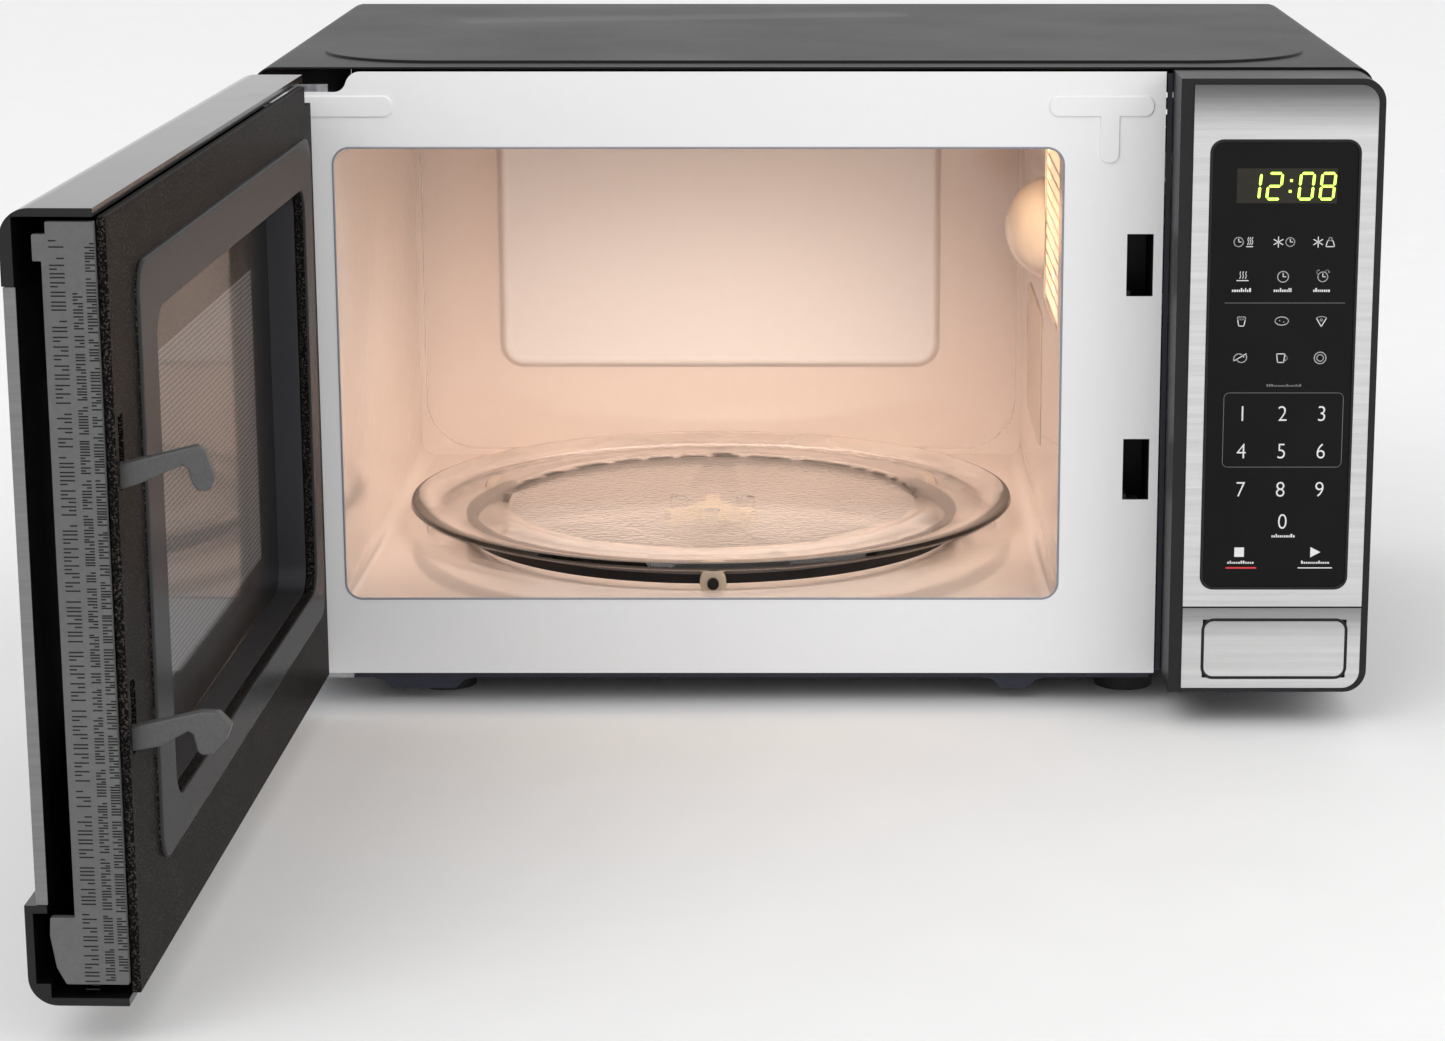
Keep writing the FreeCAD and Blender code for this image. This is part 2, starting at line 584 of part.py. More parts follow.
# ---------------------------------------------------------------- control panel
def control_panel():
    right = "body_width / 2"
    bezel = new_body("panel_bezel")
    pad(bezel, ("panel_left", right), ("face_y + skin", "front_y - 0.05"),
        ("panel_low", "panel_top"))
    pocket(bezel, ("panel_left + wall", f"{right} - wall"), ("face_y + skin + wall", "front_y"),
           ("panel_low + wall", "panel_top - wall"))
    outer = dims["body_width"] / 2
    round_edges(bezel, "Y", "panel_corner - wall", lambda c: outer - 3 < c.x < outer - 1)
    round_edges(bezel, "Y", "panel_corner", lambda c: c.x > outer - 1)
    open_front = ("face_y", "face_y + skin + wall + 1")
    pocket(bezel, ("keys_left - 0.2", "keys_right + 0.2"), open_front,
           ("keys_low - 0.2", "keys_high + 0.2"))
    pocket(bezel, ("button_left - gap", "button_right + gap"), open_front,
           ("button_low - gap", "button_high + gap"))
    keep(bezel, "panel_bezel")

    face = new_body("panel_face")
    skin = ("face_y", "face_y + skin - 0.02")
    pad(face, ("face_left", "face_right"), skin, ("split_z + 0.3", "face_top"))
    side = dims["face_right"]
    round_edges(face, "Y", "panel_corner - 2", lambda c: c.x > side - 1 and c.z > 200)
    clear = ("face_y - 1", "face_y + skin + 1")
    pocket(face, ("keys_left - 0.2", "keys_right + 0.2"), clear,
           ("keys_low - 0.2", "keys_high + 0.2"))
    round_edges(face, "Y", "keys_corner", lambda c: 150 < c.x < 212 and 55 < c.z < 240)
    keep(face, "panel_face")

    lower = new_body("panel_pocket")
    pad(lower, ("face_left", "face_right"), skin, ("panel_low + 1.8", "split_z - 0.3"))
    round_edges(lower, "Y", "panel_corner - 2", lambda c: c.x > side - 1 and c.z < 20)
    pocket(lower, ("button_left - gap", "button_right + gap"), clear,
           ("button_low - gap", "button_high + gap"))
    keep(lower, "panel_pocket")

    keypad = new_body("keypad")
    pad(keypad, ("keys_left", "keys_right"), ("face_y + 0.1", "face_y + 2.6"),
        ("keys_low", "keys_high"))
    round_edges(keypad, "Y", "keys_corner", lambda c: True)
    pocket(keypad, ("display_left", "display_right"), ("face_y", "face_y + 3"),
           ("display_low", "display_high"))
    keep(keypad, "keypad")
    keep(block(("display_left + 0.05", "display_right - 0.05"), ("face_y + 0.2", "face_y + 2.2"),
               ("display_low + 0.05", "display_high - 0.05")), "display_window")
    module = block(("display_left + 1", "display_right - 1"), ("face_y + 2.7", "face_y + 9"),
                   ("display_low - 2", "display_high + 2"))
    board = block(("keys_left", "keys_right - 2"), ("face_y + 9.1", "face_y + 10.7"),
                  ("keys_low", "keys_high - 1"))
    back = "face_y + 10.8"
    parts = [block((x, f"{x} + {w}"), (back, f"{back} + {d}"), (z, f"{z} + {h}"))
             for x, w, d, z, h in (("158", 20, 16, "72", 16), ("182", 20, 16, "72", 16),
                                   ("160", 30, 18, "100", 34), ("194", 12, 6, "150", 20))]
    parts.append(rod("Y", ("172", "165"), (back, f"{back} + 8"), "7"))
    keep(group([board, module] + parts), "control_board")


def door_button():
    keep(fuse([block(("button_left", "button_right"), ("face_y + skin", "face_y + 10"),
                     ("button_low", "button_high")),
               block(("stem_x - 6", "stem_x + 6"), ("face_y + 9", "-128.5"), ("28", "38"))]),
         "door_button")
    cap = new_body("button_cap")
    pad(cap, ("button_left", "button_right"), ("face_y", "face_y + skin - 0.02"),
        ("button_low", "button_high"))
    round_edges(cap, "Y", "keys_corner", lambda c: True)
    keep(cap, "button_cap")
    plate = block(("panel_left + wall + 0.1", "211"),
                  ("front_y - 9", "front_y - 6"), ("17.2", "48"))
    keep(cut(plate, [block(("stem_x - 6.2", "stem_x + 6.2"), ("front_y - 12", "front_y - 1"),
                           ("27.8", "38.2"))]), "button_guide")
    keep(spring("Y", ("200", "33"), ("face_y + 10.1", "front_y - 9.1"), 4.0, 0.8, 6),
         "button_spring")


def release():
    axis = ("lever_y", "lever_z")
    lever = fuse([rod("X", axis, ("122.2", "188"), "lever_radius"),
                  block(("178", "188"), ("lever_y - 10.9", "lever_y - 5"), ("28", "60")),
                  block(("178", "188"), ("lever_y - 10.9", "lever_y"), ("58", "66")),
                  block(("126.5", "132.5"), ("lever_y", "lever_y + 17"), ("59", "65")),
                  block(("126.5", "132.5"), ("lever_y + 11", "lever_y + 17"), ("64", "82"))])
    keep(lever, "release_lever")
    bracket = new_body("interlock_bracket")
    pad(bracket, ("119.5", "137.4"), ("front_y + sheet + 0.1", "-88"), ("48", "205"), "YZ")
    pocket(bracket, ("122", "135"), ("front_y", "-90"), ("50", "203"), "YZ")
    pocket(bracket, ("134", "138"), ("-121.4", "-112.6"), ("57.6", "66.4"), "YZ")
    for low in ("upper_slot", "lower_slot"):
        strike = [("front_y + 1.4", f"{low} - 8"), ("-110.4", f"{low} - 8"),
                  ("-110.4", f"{low} + 4"), ("front_y + 1.4", f"{low} + 2")]
        pad_outline(bracket, "YZ", strike, ("121.5", "125.9"))
    keep(bracket, "interlock_bracket")
    switches = [block(("137.5", "147.5"), ("-112", "-92"), (z, f"{z} + 28"))
                for z in ("88", "128", "168")]
    keep(group(switches), "interlock_switches")


# ---------------------------------------------------------------- microwave generator
def magnetron():
    axis = ("tube_y", "tube_z")
    keep(fuse([rod("X", axis, ("127", "176"), "20"), rod("X", axis, ("106", "127.5"), "7")]),
         "magnetron_anode")
    fins = []
    for i in range(7):
        x = f"132 + {i} * 6"
        fins.append(cut(block((x, f"{x} + 0.6"), ("tube_y - 38", "tube_y + 38"),
                              ("tube_z - 29", "tube_z + 29")),
                        [rod("X", axis, (f"{x} - 1", f"{x} + 2"), "20.05")]))
    keep(group(fins), "magnetron_fins")
    yoke = cut(block(("122", "182"), ("tube_y - 42", "tube_y + 42"), ("tube_z - 34", "tube_z + 34")),
               [block(("124", "180"), ("tube_y - 50", "tube_y + 50"), ("tube_z - 32", "tube_z + 32")),
                rod("X", axis, ("120", "125"), "20.2"), rod("X", axis, ("178", "184"), "8")])
    filter_box = block(("182.2", "208"), ("tube_y - 26", "tube_y + 26"),
                       ("tube_z - 24", "tube_z + 24"))
    keep(group([yoke, filter_box]), "magnetron_yoke")


def transformer():
    core = cut(block(("122", "206"), ("-25", "45"), ("15.3", "80")),
               [block(("136", "150"), ("-30", "50"), ("28", "67.6")),
                block(("178", "192"), ("-30", "50"), ("28", "67.6"))])
    keep(core, "transformer_core")
    coils = [cut(block(("136.4", "191.6"), ("-39", "59"), span),
                 [block(("149.7", "178.3"), ("-25.3", "45.3"), ("20", "75"))])
             for span in (("28.6", "46"), ("48", "67"))]
    keep(group(coils), "transformer_windings")


def capacitor():
    length = ("64", "116")
    can = fuse([rod("Y", ("126", "38"), length, "15"), rod("Y", ("150", "38"), length, "15"),
                block(("126", "150"), length, ("23", "53"))])
    strap = cut(block(("109", "167"), ("86", "94"), ("15.3", "54.5")),
                [block(("110.6", "165.4"), ("80", "100"), ("22.6", "53.4"))])
    keep(group([can, strap]), "capacitor")
    keep(fuse([rod("X", ("72", "60"), ("112", "132"), "3"),
               rod("X", ("72", "60"), ("132", "150"), "0.8")]), "high_voltage_diode")


def cooling_fan():
    axis = ("fan_x", "fan_z")
    shroud = cut(block(("102", "216"), ("123", "125"), ("62", "256")),
                 [rod("Y", axis, ("120", "130"), "fan_radius + 3")])
    rim = cut(rod("Y", axis, ("123", "144"), "fan_radius + 5"),
              [rod("Y", axis, ("120", "150"), "fan_radius + 3")])
    arm = block(("fan_x - 4", "fan_x + 4"), ("119", "125"), ("fan_z - 54", "fan_z - 23"))
    keep(fuse([shroud, rim, arm]), "fan_shroud")
    stator = cut(block(("fan_x - 24", "fan_x + 24"), ("98", "118.8"), ("fan_z - 23", "fan_z + 23")),
                 [rod("Y", axis, ("90", "125"), "12")])
    keep(stator, "fan_motor")
    keep(fuse([rod("Y", axis, ("95", "144"), "2"), rod("Y", axis, ("99", "118"), "11.5")]),
         "fan_rotor")
    blades = [cut(rod("Y", axis, ("127", "143"), "12"), [rod("Y", axis, ("120", "150"), "2 + fit")])]
    for i in range(5):
        blade = doc.addObject("Part::Box", "blade")
        bind(blade, "Length", "fan_radius - 11")
        bind(blade, "Width", "18")
        bind(blade, "Height", "1.4")
        swing = Rotation(Vector(0, 1, 0), 72 * i)
        pitch = Rotation(Vector(1, 0, 0), 35)
        turn = swing.multiply(pitch)
        start = swing.multVec(Vector(11, 0, 0)) + turn.multVec(Vector(0, -9, -0.7))
        blade.Placement = Placement(start, turn)
        bind(blade, "Placement.Base.x", f"fan_x + {start.x:.6f}")
        bind(blade, "Placement.Base.y", f"135 + {start.y:.6f}")
        bind(blade, "Placement.Base.z", f"fan_z + {start.z:.6f}")
        blades.append(blade)
    keep(fuse(blades), "fan_blade")


def small_internals():
    parts = [block(("106", "214"), ("-70", "-20"), ("222", "223.6")),
             block(("112", "136"), ("-62", "-40"), ("223.7", "242")),
             rod("Z", ("160", "-45"), ("223.7", "240"), "9"),
             block(("178", "200"), ("-60", "-34"), ("223.7", "236"))]
    parts.append(rod("X", ("-28", "226.8"), ("120", "144"), "3"))
    keep(group(parts), "noise_filter")
    cutouts = [fuse([rod("X", (y, z), ("99.4", "107"), "8"),
                     block(("99.2", "100.4"), (f"{y} - 12", f"{y} + 12"), (f"{z} - 4", f"{z} + 4"))])
               for y, z in (("115", "150"), ("-20", "120"))]
    keep(group(cutouts), "thermal_cutouts")
    gland = cut(fuse([rod("Y", ("190", "60"), ("150", "rear_y + 4"), "7"),
                      rod("Y", ("190", "60"), ("rear_y - 0.1", "rear_y + 2.4"), "10")]),
                [rod("Y", ("190", "60"), ("140", "rear_y + 8"), "3.4")])
    keep(gland, "cord_gland")


# ---------------------------------------------------------------- hinges
def hinges():
    pivot = ("hinge_x", "hinge_y")
    upper = fuse([block(("hinge_x - 4", "hinge_x + 5"), ("hinge_y - 2", "-122.8"), ("251", "253.2")),
                  rod("Z", pivot, ("251", "253.2"), "5"),
                  block(("-218.6", "-191"), ("-124.6", "-122.8"), ("230", "253.2")),
                  rod("Z", pivot, ("240.4", "252"), "pin_radius")])
    keep(upper, "upper_hinge")
    lower = fuse([block(("hinge_x - 5", "hinge_x + 5"), ("hinge_y", "-96"), ("11", "13.4")),
                  rod("Z", pivot, ("11", "13.4"), "5"),
                  block(("-219.4", "-188"), ("-123.5", "-96"), ("11", "13.4")),
                  rod("Z", pivot, ("12", "22.6"), "pin_radius")])
    washer = cut(rod("Z", pivot, ("13.5", "14.8"), "5"),
                 [rod("Z", pivot, ("13", "16"), "pin_radius + fit")])
    keep(group([lower, washer]), "lower_hinge")
    heads = [rod("Z", (x, "-108"), ("9.2", "10.95"), "3.2") for x in ("-211", "-196")]
    heads += [rod("Y", (x, z), ("-122.75", "-120.6"), "3.2") for x, z in (("-198", "240"),
                                                                          ("-211", "240"))]
    heads += [rod("Y", (x, z), ("rear_y - 0.15", "rear_y + 2"), "3.6")
              for x in ("-206", "206") for z in ("30", "140", "244")]
    keep(group(heads), "screws")


# ---------------------------------------------------------------- door
def door_frame():
    body = new_body("door_frame")
    across = ("door_start", "door_end")
    pad(body, across, ("door_front", "door_inner - 2.9"), ("door_low", "door_high"), "YZ")
    pad(body, across, ("door_front - lip_high", "door_front + 1"), ("band_high", "door_high"), "YZ")
    pad(body, across, ("door_front - lip_low", "door_front + 1"), ("door_low", "band_low"), "YZ")
    front = dims["door_front"]
    low, high = dims["door_low"], dims["door_high"]
    round_edges(body, "X", "9", lambda c: c.z > high - 0.1 and c.y < front)
    round_edges(body, "X", "9", lambda c: c.z < low + 0.1 and c.y < front)
    inside = ("door_start + door_wall", "door_end + 1")
    pocket(body, inside, ("door_front + door_wall", "door_inner"),
           ("door_low + door_wall", "door_high - door_wall"), "YZ")
    pocket(body, inside, ("door_front - lip_low + door_wall", "door_front + door_wall + 1"),
           ("door_low + 7", "band_low - door_wall"), "YZ")
    boss_x = ("door_start + 1", "7")
    boss_y = ("door_front + 1", "8")
    pad(body, boss_x, boss_y, ("door_low + 1", "24"), "XY")
    pad(body, boss_x, boss_y, ("238", "248"), "XY")
    pocket(body, ("door_start - 1", "7.5"), ("-6.5", "20"), ("248.2", "255.6"), "XY")
    pocket_disc(body, "XY", ("0", "0"), "pin_radius + fit", ("door_low - 1", "23.2"))
    pocket_disc(body, "XY", ("0", "0"), "pin_radius + fit", ("239.8", "249"))
    pocket(body, ("34", "308"), ("door_front - 1", "door_front + door_wall + 1"), ("64", "220"))
    pocket(body, ("door_end - 0.6", "door_end + 1"), ("door_front - 1", "door_front + 3"),
           ("band_low", "band_high"))
    on_door(body, "door_frame")


def door_front():
    skin = ("door_front - skin", "door_front - 0.05")
    steel = new_body("door_steel")
    tall = ("band_low + 0.2", "band_high - 0.2")
    pad(steel, ("door_start", "door_end"), skin, tall)
    pad(steel, ("door_end - 0.5", "door_end"), ("door_front - skin", "door_front + 2.9"), tall)
    pocket(steel, ("30", "312"), ("door_front - 2", "door_front + 1"), ("60", "224"))
    round_edges(steel, "Y", "5", lambda c: 20 < c.x < 320 and 55 < c.z < 230)
    on_door(steel, "door_steel")
    glass = new_body("door_glass")
    pad(glass, ("30.2", "311.8"), skin, ("60.2", "223.8"))
    round_edges(glass, "Y", "5", lambda c: True)
    on_door(glass, "door_glass")


def door_inner():
    pane_x, pane_z = ("pane_start", "pane_end"), ("pane_low", "pane_high")
    start, end = dims["pane_start"], dims["pane_end"]

    def aperture(body, depth):
        pocket(body, pane_x, depth, pane_z)
        round_edges(body, "Y", "10", lambda c: min(abs(c.x - start), abs(c.x - end)) < 0.1
                    and dims["pane_low"] - 1 < c.z < dims["pane_high"] + 1)

    choke = new_body("choke_frame")
    pad(choke, ("8", "336"), ("5.6", "16.6"), ("26.5", "247.5"))
    pocket(choke, ("8 + sheet", "336 - sheet"), ("5.6 + sheet", "17"),
           ("26.5 + sheet", "247.5 - sheet"))
    pad(choke, ("pane_start - sheet", "pane_end + sheet"), ("6", "16.6"),
        ("pane_low - sheet", "pane_high + sheet"))
    aperture(choke, ("5", "17"))
    on_door(choke, "choke_frame")
    on_door(group([block(("18", "300"), ("5", "5.5"), ("55", "225"))]), "door_screen")
    film = new_body("inner_window")
    pad(film, ("pane_start + 0.3", "pane_end - 0.3"), ("5.6", "6"), ("pane_low + 0.3",
                                                                     "pane_high - 0.3"))
    round_edges(film, "Y", "9.7", lambda c: True)
    on_door(film, "inner_window")
    cover = new_body("choke_cover")
    pad(cover, ("door_start + 0.2", "351.2"), ("door_inner - 2.8", "door_inner"), ("18", "256"))
    pad(cover, ("seal_start", "seal_end"), ("door_inner - 1", "door_inner + seal_rise"),
        ("seal_low", "seal_high"))
    inner = dims["door_inner"]
    round_edges(cover, "Y", "10", lambda c: c.y > inner and c.x > 0)
    round_rim(cover, "1", lambda c: c.y > inner + dims["seal_rise"] - 0.01)
    aperture(cover, ("door_inner - 4", "door_inner + 2"))
    slot_x = ("latch_x - 3.2", "latch_x + 3.2")
    for low, high in (("upper_slot + 4.7", "196"), ("lower_slot + 6.3", "115")):
        pocket(cover, slot_x, ("door_inner - 4", "door_inner + 1"), (low, high))
    pocket(cover, ("door_start - 1", "7.5"), ("door_inner - 4", "door_inner + 1"),
           ("248.2", "257"))
    on_door(cover, "choke_cover")
    label = new_body("edge_strip")
    points = [("16.7", "255"), ("2.5", "255"), ("2.5", "251.3"), ("-1.5", "251.3"),
              ("-1.5", "243.3"), ("1", "243.3"), ("1", "43"), ("-6.5", "43"), ("-6.8", "37"),
              ("-5.2", "27"), ("-2.5", "21.7"), ("16.7", "21.7")]
    pad_outline(label, "YZ", points, ("351.4", "354.2"))
    on_door(label, "edge_strip")


def latch():
    body = new_body("latch_bar")
    wide = ("latch_x - latch_width / 2", "latch_x + latch_width / 2")
    upper = [("8", "181.8"), ("19.8", "181.8"), ("42", "187.3"), ("44.6", "186.2"),
             ("47.4", "177"), ("45.6", "173.6"), ("42", "173.6"), ("40.6", "175.4"),
             ("39.4", "180.2"), ("37.6", "181.3"), ("24", "175.4"), ("19.8", "174.2"),
             ("8", "174.2")]
    lower = [("8", "100.7"), ("19", "100.7"), ("40.6", "105.7"), ("45.6", "105.5"),
             ("49.4", "101.4"), ("47.6", "97"), ("43", "92.2"), ("40", "92"), ("38.6", "93.4"),
             ("37.6", "98.4"), ("36", "99.5"), ("27", "94.6"), ("19", "93.1"), ("8", "93.1")]
    pad(body, wide, ("8", "14"), ("82", "198"), "YZ")
    pad_outline(body, "YZ", upper, wide)
    pad_outline(body, "YZ", lower, wide)
    on_door(body, "latch_bar")
    on_door(group([spring("Z", ("latch_x", "11"), ("54", "81.8"), 3.0, 0.7, 9)]), "latch_spring")
    guides = [cut(block(("337", "351"), ("4", "15.5"), (z, f"{z} + 6")),
                  [block(("latch_x - 2.6", "latch_x + 2.6"), ("7.9", "14.1"), (f"{z} - 1", f"{z} + 7"))])
              for z in ("118", "160")]
    guides.append(block(("337", "351"), ("4", "15.5"), ("48", "53.9")))
    on_door(group(guides), "latch_guides")


outer_cover()
base_plate()
feet()
rear_panel()
rear_spacers()
front_plate()
cavity_shell()
lamp_grille()
waveguide()
mica_cover()
lamp()
turntable()
control_panel()
door_button()
release()
magnetron()
transformer()
capacitor()
cooling_fan()
small_internals()
hinges()
door_frame()
door_front()
door_inner()
latch()
doc.recompute()

for item in doc.Objects:
    if "Invalid" in item.State or "Error" in item.State:
        raise RuntimeError(f"{item.Name} ({item.Label}) failed: {item.State}")
for node in nodes:
    if node.Shape.isNull() or not node.Shape.isValid():
        raise RuntimeError(f"{node.Label} has no valid shape")
    node.Shape.exportStep(f"parts/{node.Label}.step")
    print(f"{node.Label}: {len(node.Shape.Solids)} solid(s), {node.Shape.Volume:.0f} mm3")
print(len(nodes), "nodes")
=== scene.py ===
import json
import math
import random

import bmesh
import bpy
from mathutils import Matrix, Vector


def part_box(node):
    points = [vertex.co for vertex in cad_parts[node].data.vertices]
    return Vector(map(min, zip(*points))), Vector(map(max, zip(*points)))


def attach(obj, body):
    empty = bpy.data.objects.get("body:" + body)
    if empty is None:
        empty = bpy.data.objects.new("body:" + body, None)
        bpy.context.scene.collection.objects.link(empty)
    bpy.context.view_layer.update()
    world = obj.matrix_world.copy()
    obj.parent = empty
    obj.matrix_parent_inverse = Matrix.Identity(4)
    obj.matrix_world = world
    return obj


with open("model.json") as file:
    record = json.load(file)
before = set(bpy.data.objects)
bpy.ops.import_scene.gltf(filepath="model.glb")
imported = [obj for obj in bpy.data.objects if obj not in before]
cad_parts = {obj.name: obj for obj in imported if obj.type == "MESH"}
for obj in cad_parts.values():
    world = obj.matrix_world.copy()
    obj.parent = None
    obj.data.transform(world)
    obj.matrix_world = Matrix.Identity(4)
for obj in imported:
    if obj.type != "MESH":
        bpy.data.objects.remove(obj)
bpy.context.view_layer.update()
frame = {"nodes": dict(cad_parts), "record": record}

nodes = frame["nodes"]
scene = bpy.context.scene
print("frame loaded with", len(nodes), "nodes")

# The door is drawn shut, from its hinge axis, and swung open by this matrix.
doorJoint = next(j for j in frame["record"]["behaviour"]["joints"] if j["name"] == "door_swing")
doorMatrix = (Matrix.Translation((doorJoint["pos_m"][0], doorJoint["pos_m"][1], 0))
              @ Matrix.Rotation(-math.radians(doorJoint["range_deg"][1]), 4, "Z"))


def startGroup(name, inputs, outputs):
    tree = bpy.data.node_groups.new(name, "ShaderNodeTree")
    for label, kind, value in inputs:
        socket = tree.interface.new_socket(label, in_out="INPUT", socket_type=kind)
        if value is not None:
            socket.default_value = value
    for label, kind in outputs:
        tree.interface.new_socket(label, in_out="OUTPUT", socket_type=kind)
    return tree, tree.nodes.new("NodeGroupInput"), tree.nodes.new("NodeGroupOutput")


def addNode(tree, kind, values=None, **settings):
    node = tree.nodes.new(kind)
    for key, value in settings.items():
        setattr(node, key, value)
    for key, value in (values or {}).items():
        node.inputs[key].default_value = value
    return node


def addMath(tree, operation, first, second=None):
    node = tree.nodes.new("ShaderNodeMath")
    node.operation = operation
    for index, value in enumerate((first, second)):
        if value is None:
            continue
        if isinstance(value, (int, float)):
            node.inputs[index].default_value = value
        else:
            tree.links.new(value, node.inputs[index])
    return node.outputs[0]


def buildGrain():
    # fine moulded or sprayed grain, with slow patches for handling marks
    tree, start, end = startGroup(
        "grain",
        [("Vector", "NodeSocketVector", None), ("Scale", "NodeSocketFloat", 900.0),
         ("Patch", "NodeSocketFloat", 14.0)],
        [("Mask", "NodeSocketFloat"), ("Height", "NodeSocketFloat")])
    fine = addNode(tree, "ShaderNodeTexNoise", {"Detail": 4.0, "Roughness": 0.6})
    slow = addNode(tree, "ShaderNodeTexNoise", {"Detail": 3.0})
    for noise, scale in ((fine, "Scale"), (slow, "Patch")):
        tree.links.new(start.outputs["Vector"], noise.inputs["Vector"])
        tree.links.new(start.outputs[scale], noise.inputs["Scale"])
    both = addMath(tree, "MULTIPLY", fine.outputs[0], slow.outputs[0])
    tree.links.new(addMath(tree, "MULTIPLY", both, 2.6), end.inputs["Mask"])
    tree.links.new(fine.outputs[0], end.inputs["Height"])
    return tree


def buildBrushed():
    # long hairlines: the vector comes in squeezed along the grain
    tree, start, end = startGroup(
        "brushedLines", [("Vector", "NodeSocketVector", None)],
        [("Mask", "NodeSocketFloat"), ("Height", "NodeSocketFloat")])
    lines = addNode(tree, "ShaderNodeTexNoise", {"Scale": 1.0, "Detail": 5.0, "Roughness": 0.7})
    bands = addNode(tree, "ShaderNodeTexNoise", {"Scale": 0.12, "Detail": 2.0})
    for noise in (lines, bands):
        tree.links.new(start.outputs[0], noise.inputs["Vector"])
    both = addMath(tree, "ADD", lines.outputs[0], bands.outputs[0])
    tree.links.new(addMath(tree, "MULTIPLY", both, 0.5), end.inputs["Mask"])
    tree.links.new(lines.outputs[0], end.inputs["Height"])
    return tree


def buildFlecks():
    # small light flecks in dark moulded plastic
    tree, start, end = startGroup(
        "flecks",
        [("Vector", "NodeSocketVector", None), ("Scale", "NodeSocketFloat", 1500.0)],
        [("Mask", "NodeSocketFloat"), ("Height", "NodeSocketFloat")])
    noise = addNode(tree, "ShaderNodeTexNoise", {"Detail": 2.0, "Roughness": 0.55})
    slow = addNode(tree, "ShaderNodeTexNoise", {"Scale": 40.0, "Detail": 3.0})
    tree.links.new(start.outputs["Vector"], noise.inputs["Vector"])
    tree.links.new(start.outputs["Vector"], slow.inputs["Vector"])
    tree.links.new(start.outputs["Scale"], noise.inputs["Scale"])
    spots = addNode(tree, "ShaderNodeMapRange", {"From Min": 0.5, "From Max": 0.72})
    tree.links.new(noise.outputs[0], spots.inputs[0])
    mask = addMath(tree, "MULTIPLY", spots.outputs[0], addMath(tree, "ADD", slow.outputs[0], 0.3))
    tree.links.new(mask, end.inputs["Mask"])
    tree.links.new(noise.outputs[0], end.inputs["Height"])
    return tree


def buildHoleGrid():
    # staggered round holes: 1 inside a hole, 0 on the metal between
    tree, start, end = startGroup(
        "holeGrid",
        [("Across", "NodeSocketFloat", 0.0), ("Up", "NodeSocketFloat", 0.0),
         ("Pitch", "NodeSocketFloat", 0.0022), ("Radius", "NodeSocketFloat", 0.0008)],
        [("Mask", "NodeSocketFloat")])
    pitch = start.outputs["Pitch"]
    rowPitch = addMath(tree, "MULTIPLY", pitch, 0.866)
    row = addMath(tree, "DIVIDE", start.outputs["Up"], rowPitch)
    odd = addMath(tree, "FLOORED_MODULO", addMath(tree, "FLOOR", row), 2.0)
    column = addMath(tree, "ADD", addMath(tree, "DIVIDE", start.outputs["Across"], pitch),
                     addMath(tree, "MULTIPLY", odd, 0.5))
    u = addMath(tree, "MULTIPLY", addMath(tree, "SUBTRACT", addMath(tree, "FRACT", column), 0.5),
                pitch)
    v = addMath(tree, "MULTIPLY", addMath(tree, "SUBTRACT", addMath(tree, "FRACT", row), 0.5),
                rowPitch)
    square = addMath(tree, "ADD", addMath(tree, "MULTIPLY", u, u), addMath(tree, "MULTIPLY", v, v))
    distance = addMath(tree, "SQRT", square)
    edge = addNode(tree, "ShaderNodeMapRange", {"To Min": 1.0, "To Max": 0.0})
    tree.links.new(distance, edge.inputs["Value"])
    tree.links.new(addMath(tree, "MULTIPLY", start.outputs["Radius"], 0.85),
                   edge.inputs["From Min"])
    tree.links.new(addMath(tree, "MULTIPLY", start.outputs["Radius"], 1.15),
                   edge.inputs["From Max"])
    tree.links.new(edge.outputs[0], end.inputs["Mask"])
    return tree


grainGroup = buildGrain()
brushedGroup = buildBrushed()
fleckGroup = buildFlecks()
holeGroup = buildHoleGrid()
print("shader groups ready")


def makeMaterial(name, color, tone, rough, spread=0.1, bump=0.0, group=None, stretch=(1, 1, 1),
                 inputs=None, **sockets):
    material = bpy.data.materials.new(name)
    material.use_nodes = True
    tree = material.node_tree
    shader = tree.nodes["Principled BSDF"]
    coords = addNode(tree, "ShaderNodeTexCoord")
    mapping = addNode(tree, "ShaderNodeMapping", {"Scale": stretch})
    tree.links.new(coords.outputs["Object"], mapping.inputs["Vector"])
    pattern = addNode(tree, "ShaderNodeGroup", node_tree=group or grainGroup)
    for key, value in (inputs or {}).items():
        pattern.inputs[key].default_value = value
    tree.links.new(mapping.outputs[0], pattern.inputs["Vector"])
    mix = addNode(tree, "ShaderNodeMix", data_type="RGBA")
    mix.inputs[6].default_value = (*color, 1)
    mix.inputs[7].default_value = (*tone, 1)
    tree.links.new(pattern.outputs["Mask"], mix.inputs[0])
    tree.links.new(mix.outputs[2], shader.inputs["Base Color"])
    ramp = addNode(tree, "ShaderNodeMapRange", {"To Min": rough, "To Max": rough + spread})
    tree.links.new(pattern.outputs["Mask"], ramp.inputs[0])
    tree.links.new(ramp.outputs[0], shader.inputs["Roughness"])
    if bump:
        bumpNode = addNode(tree, "ShaderNodeBump", {"Strength": 0.6, "Distance": bump})
        tree.links.new(pattern.outputs["Height"], bumpNode.inputs["Height"])
        tree.links.new(bumpNode.outputs[0], shader.inputs["Normal"])
    for key, value in sockets.items():
        shader.inputs[key.replace("_", " ")].default_value = value
    return material


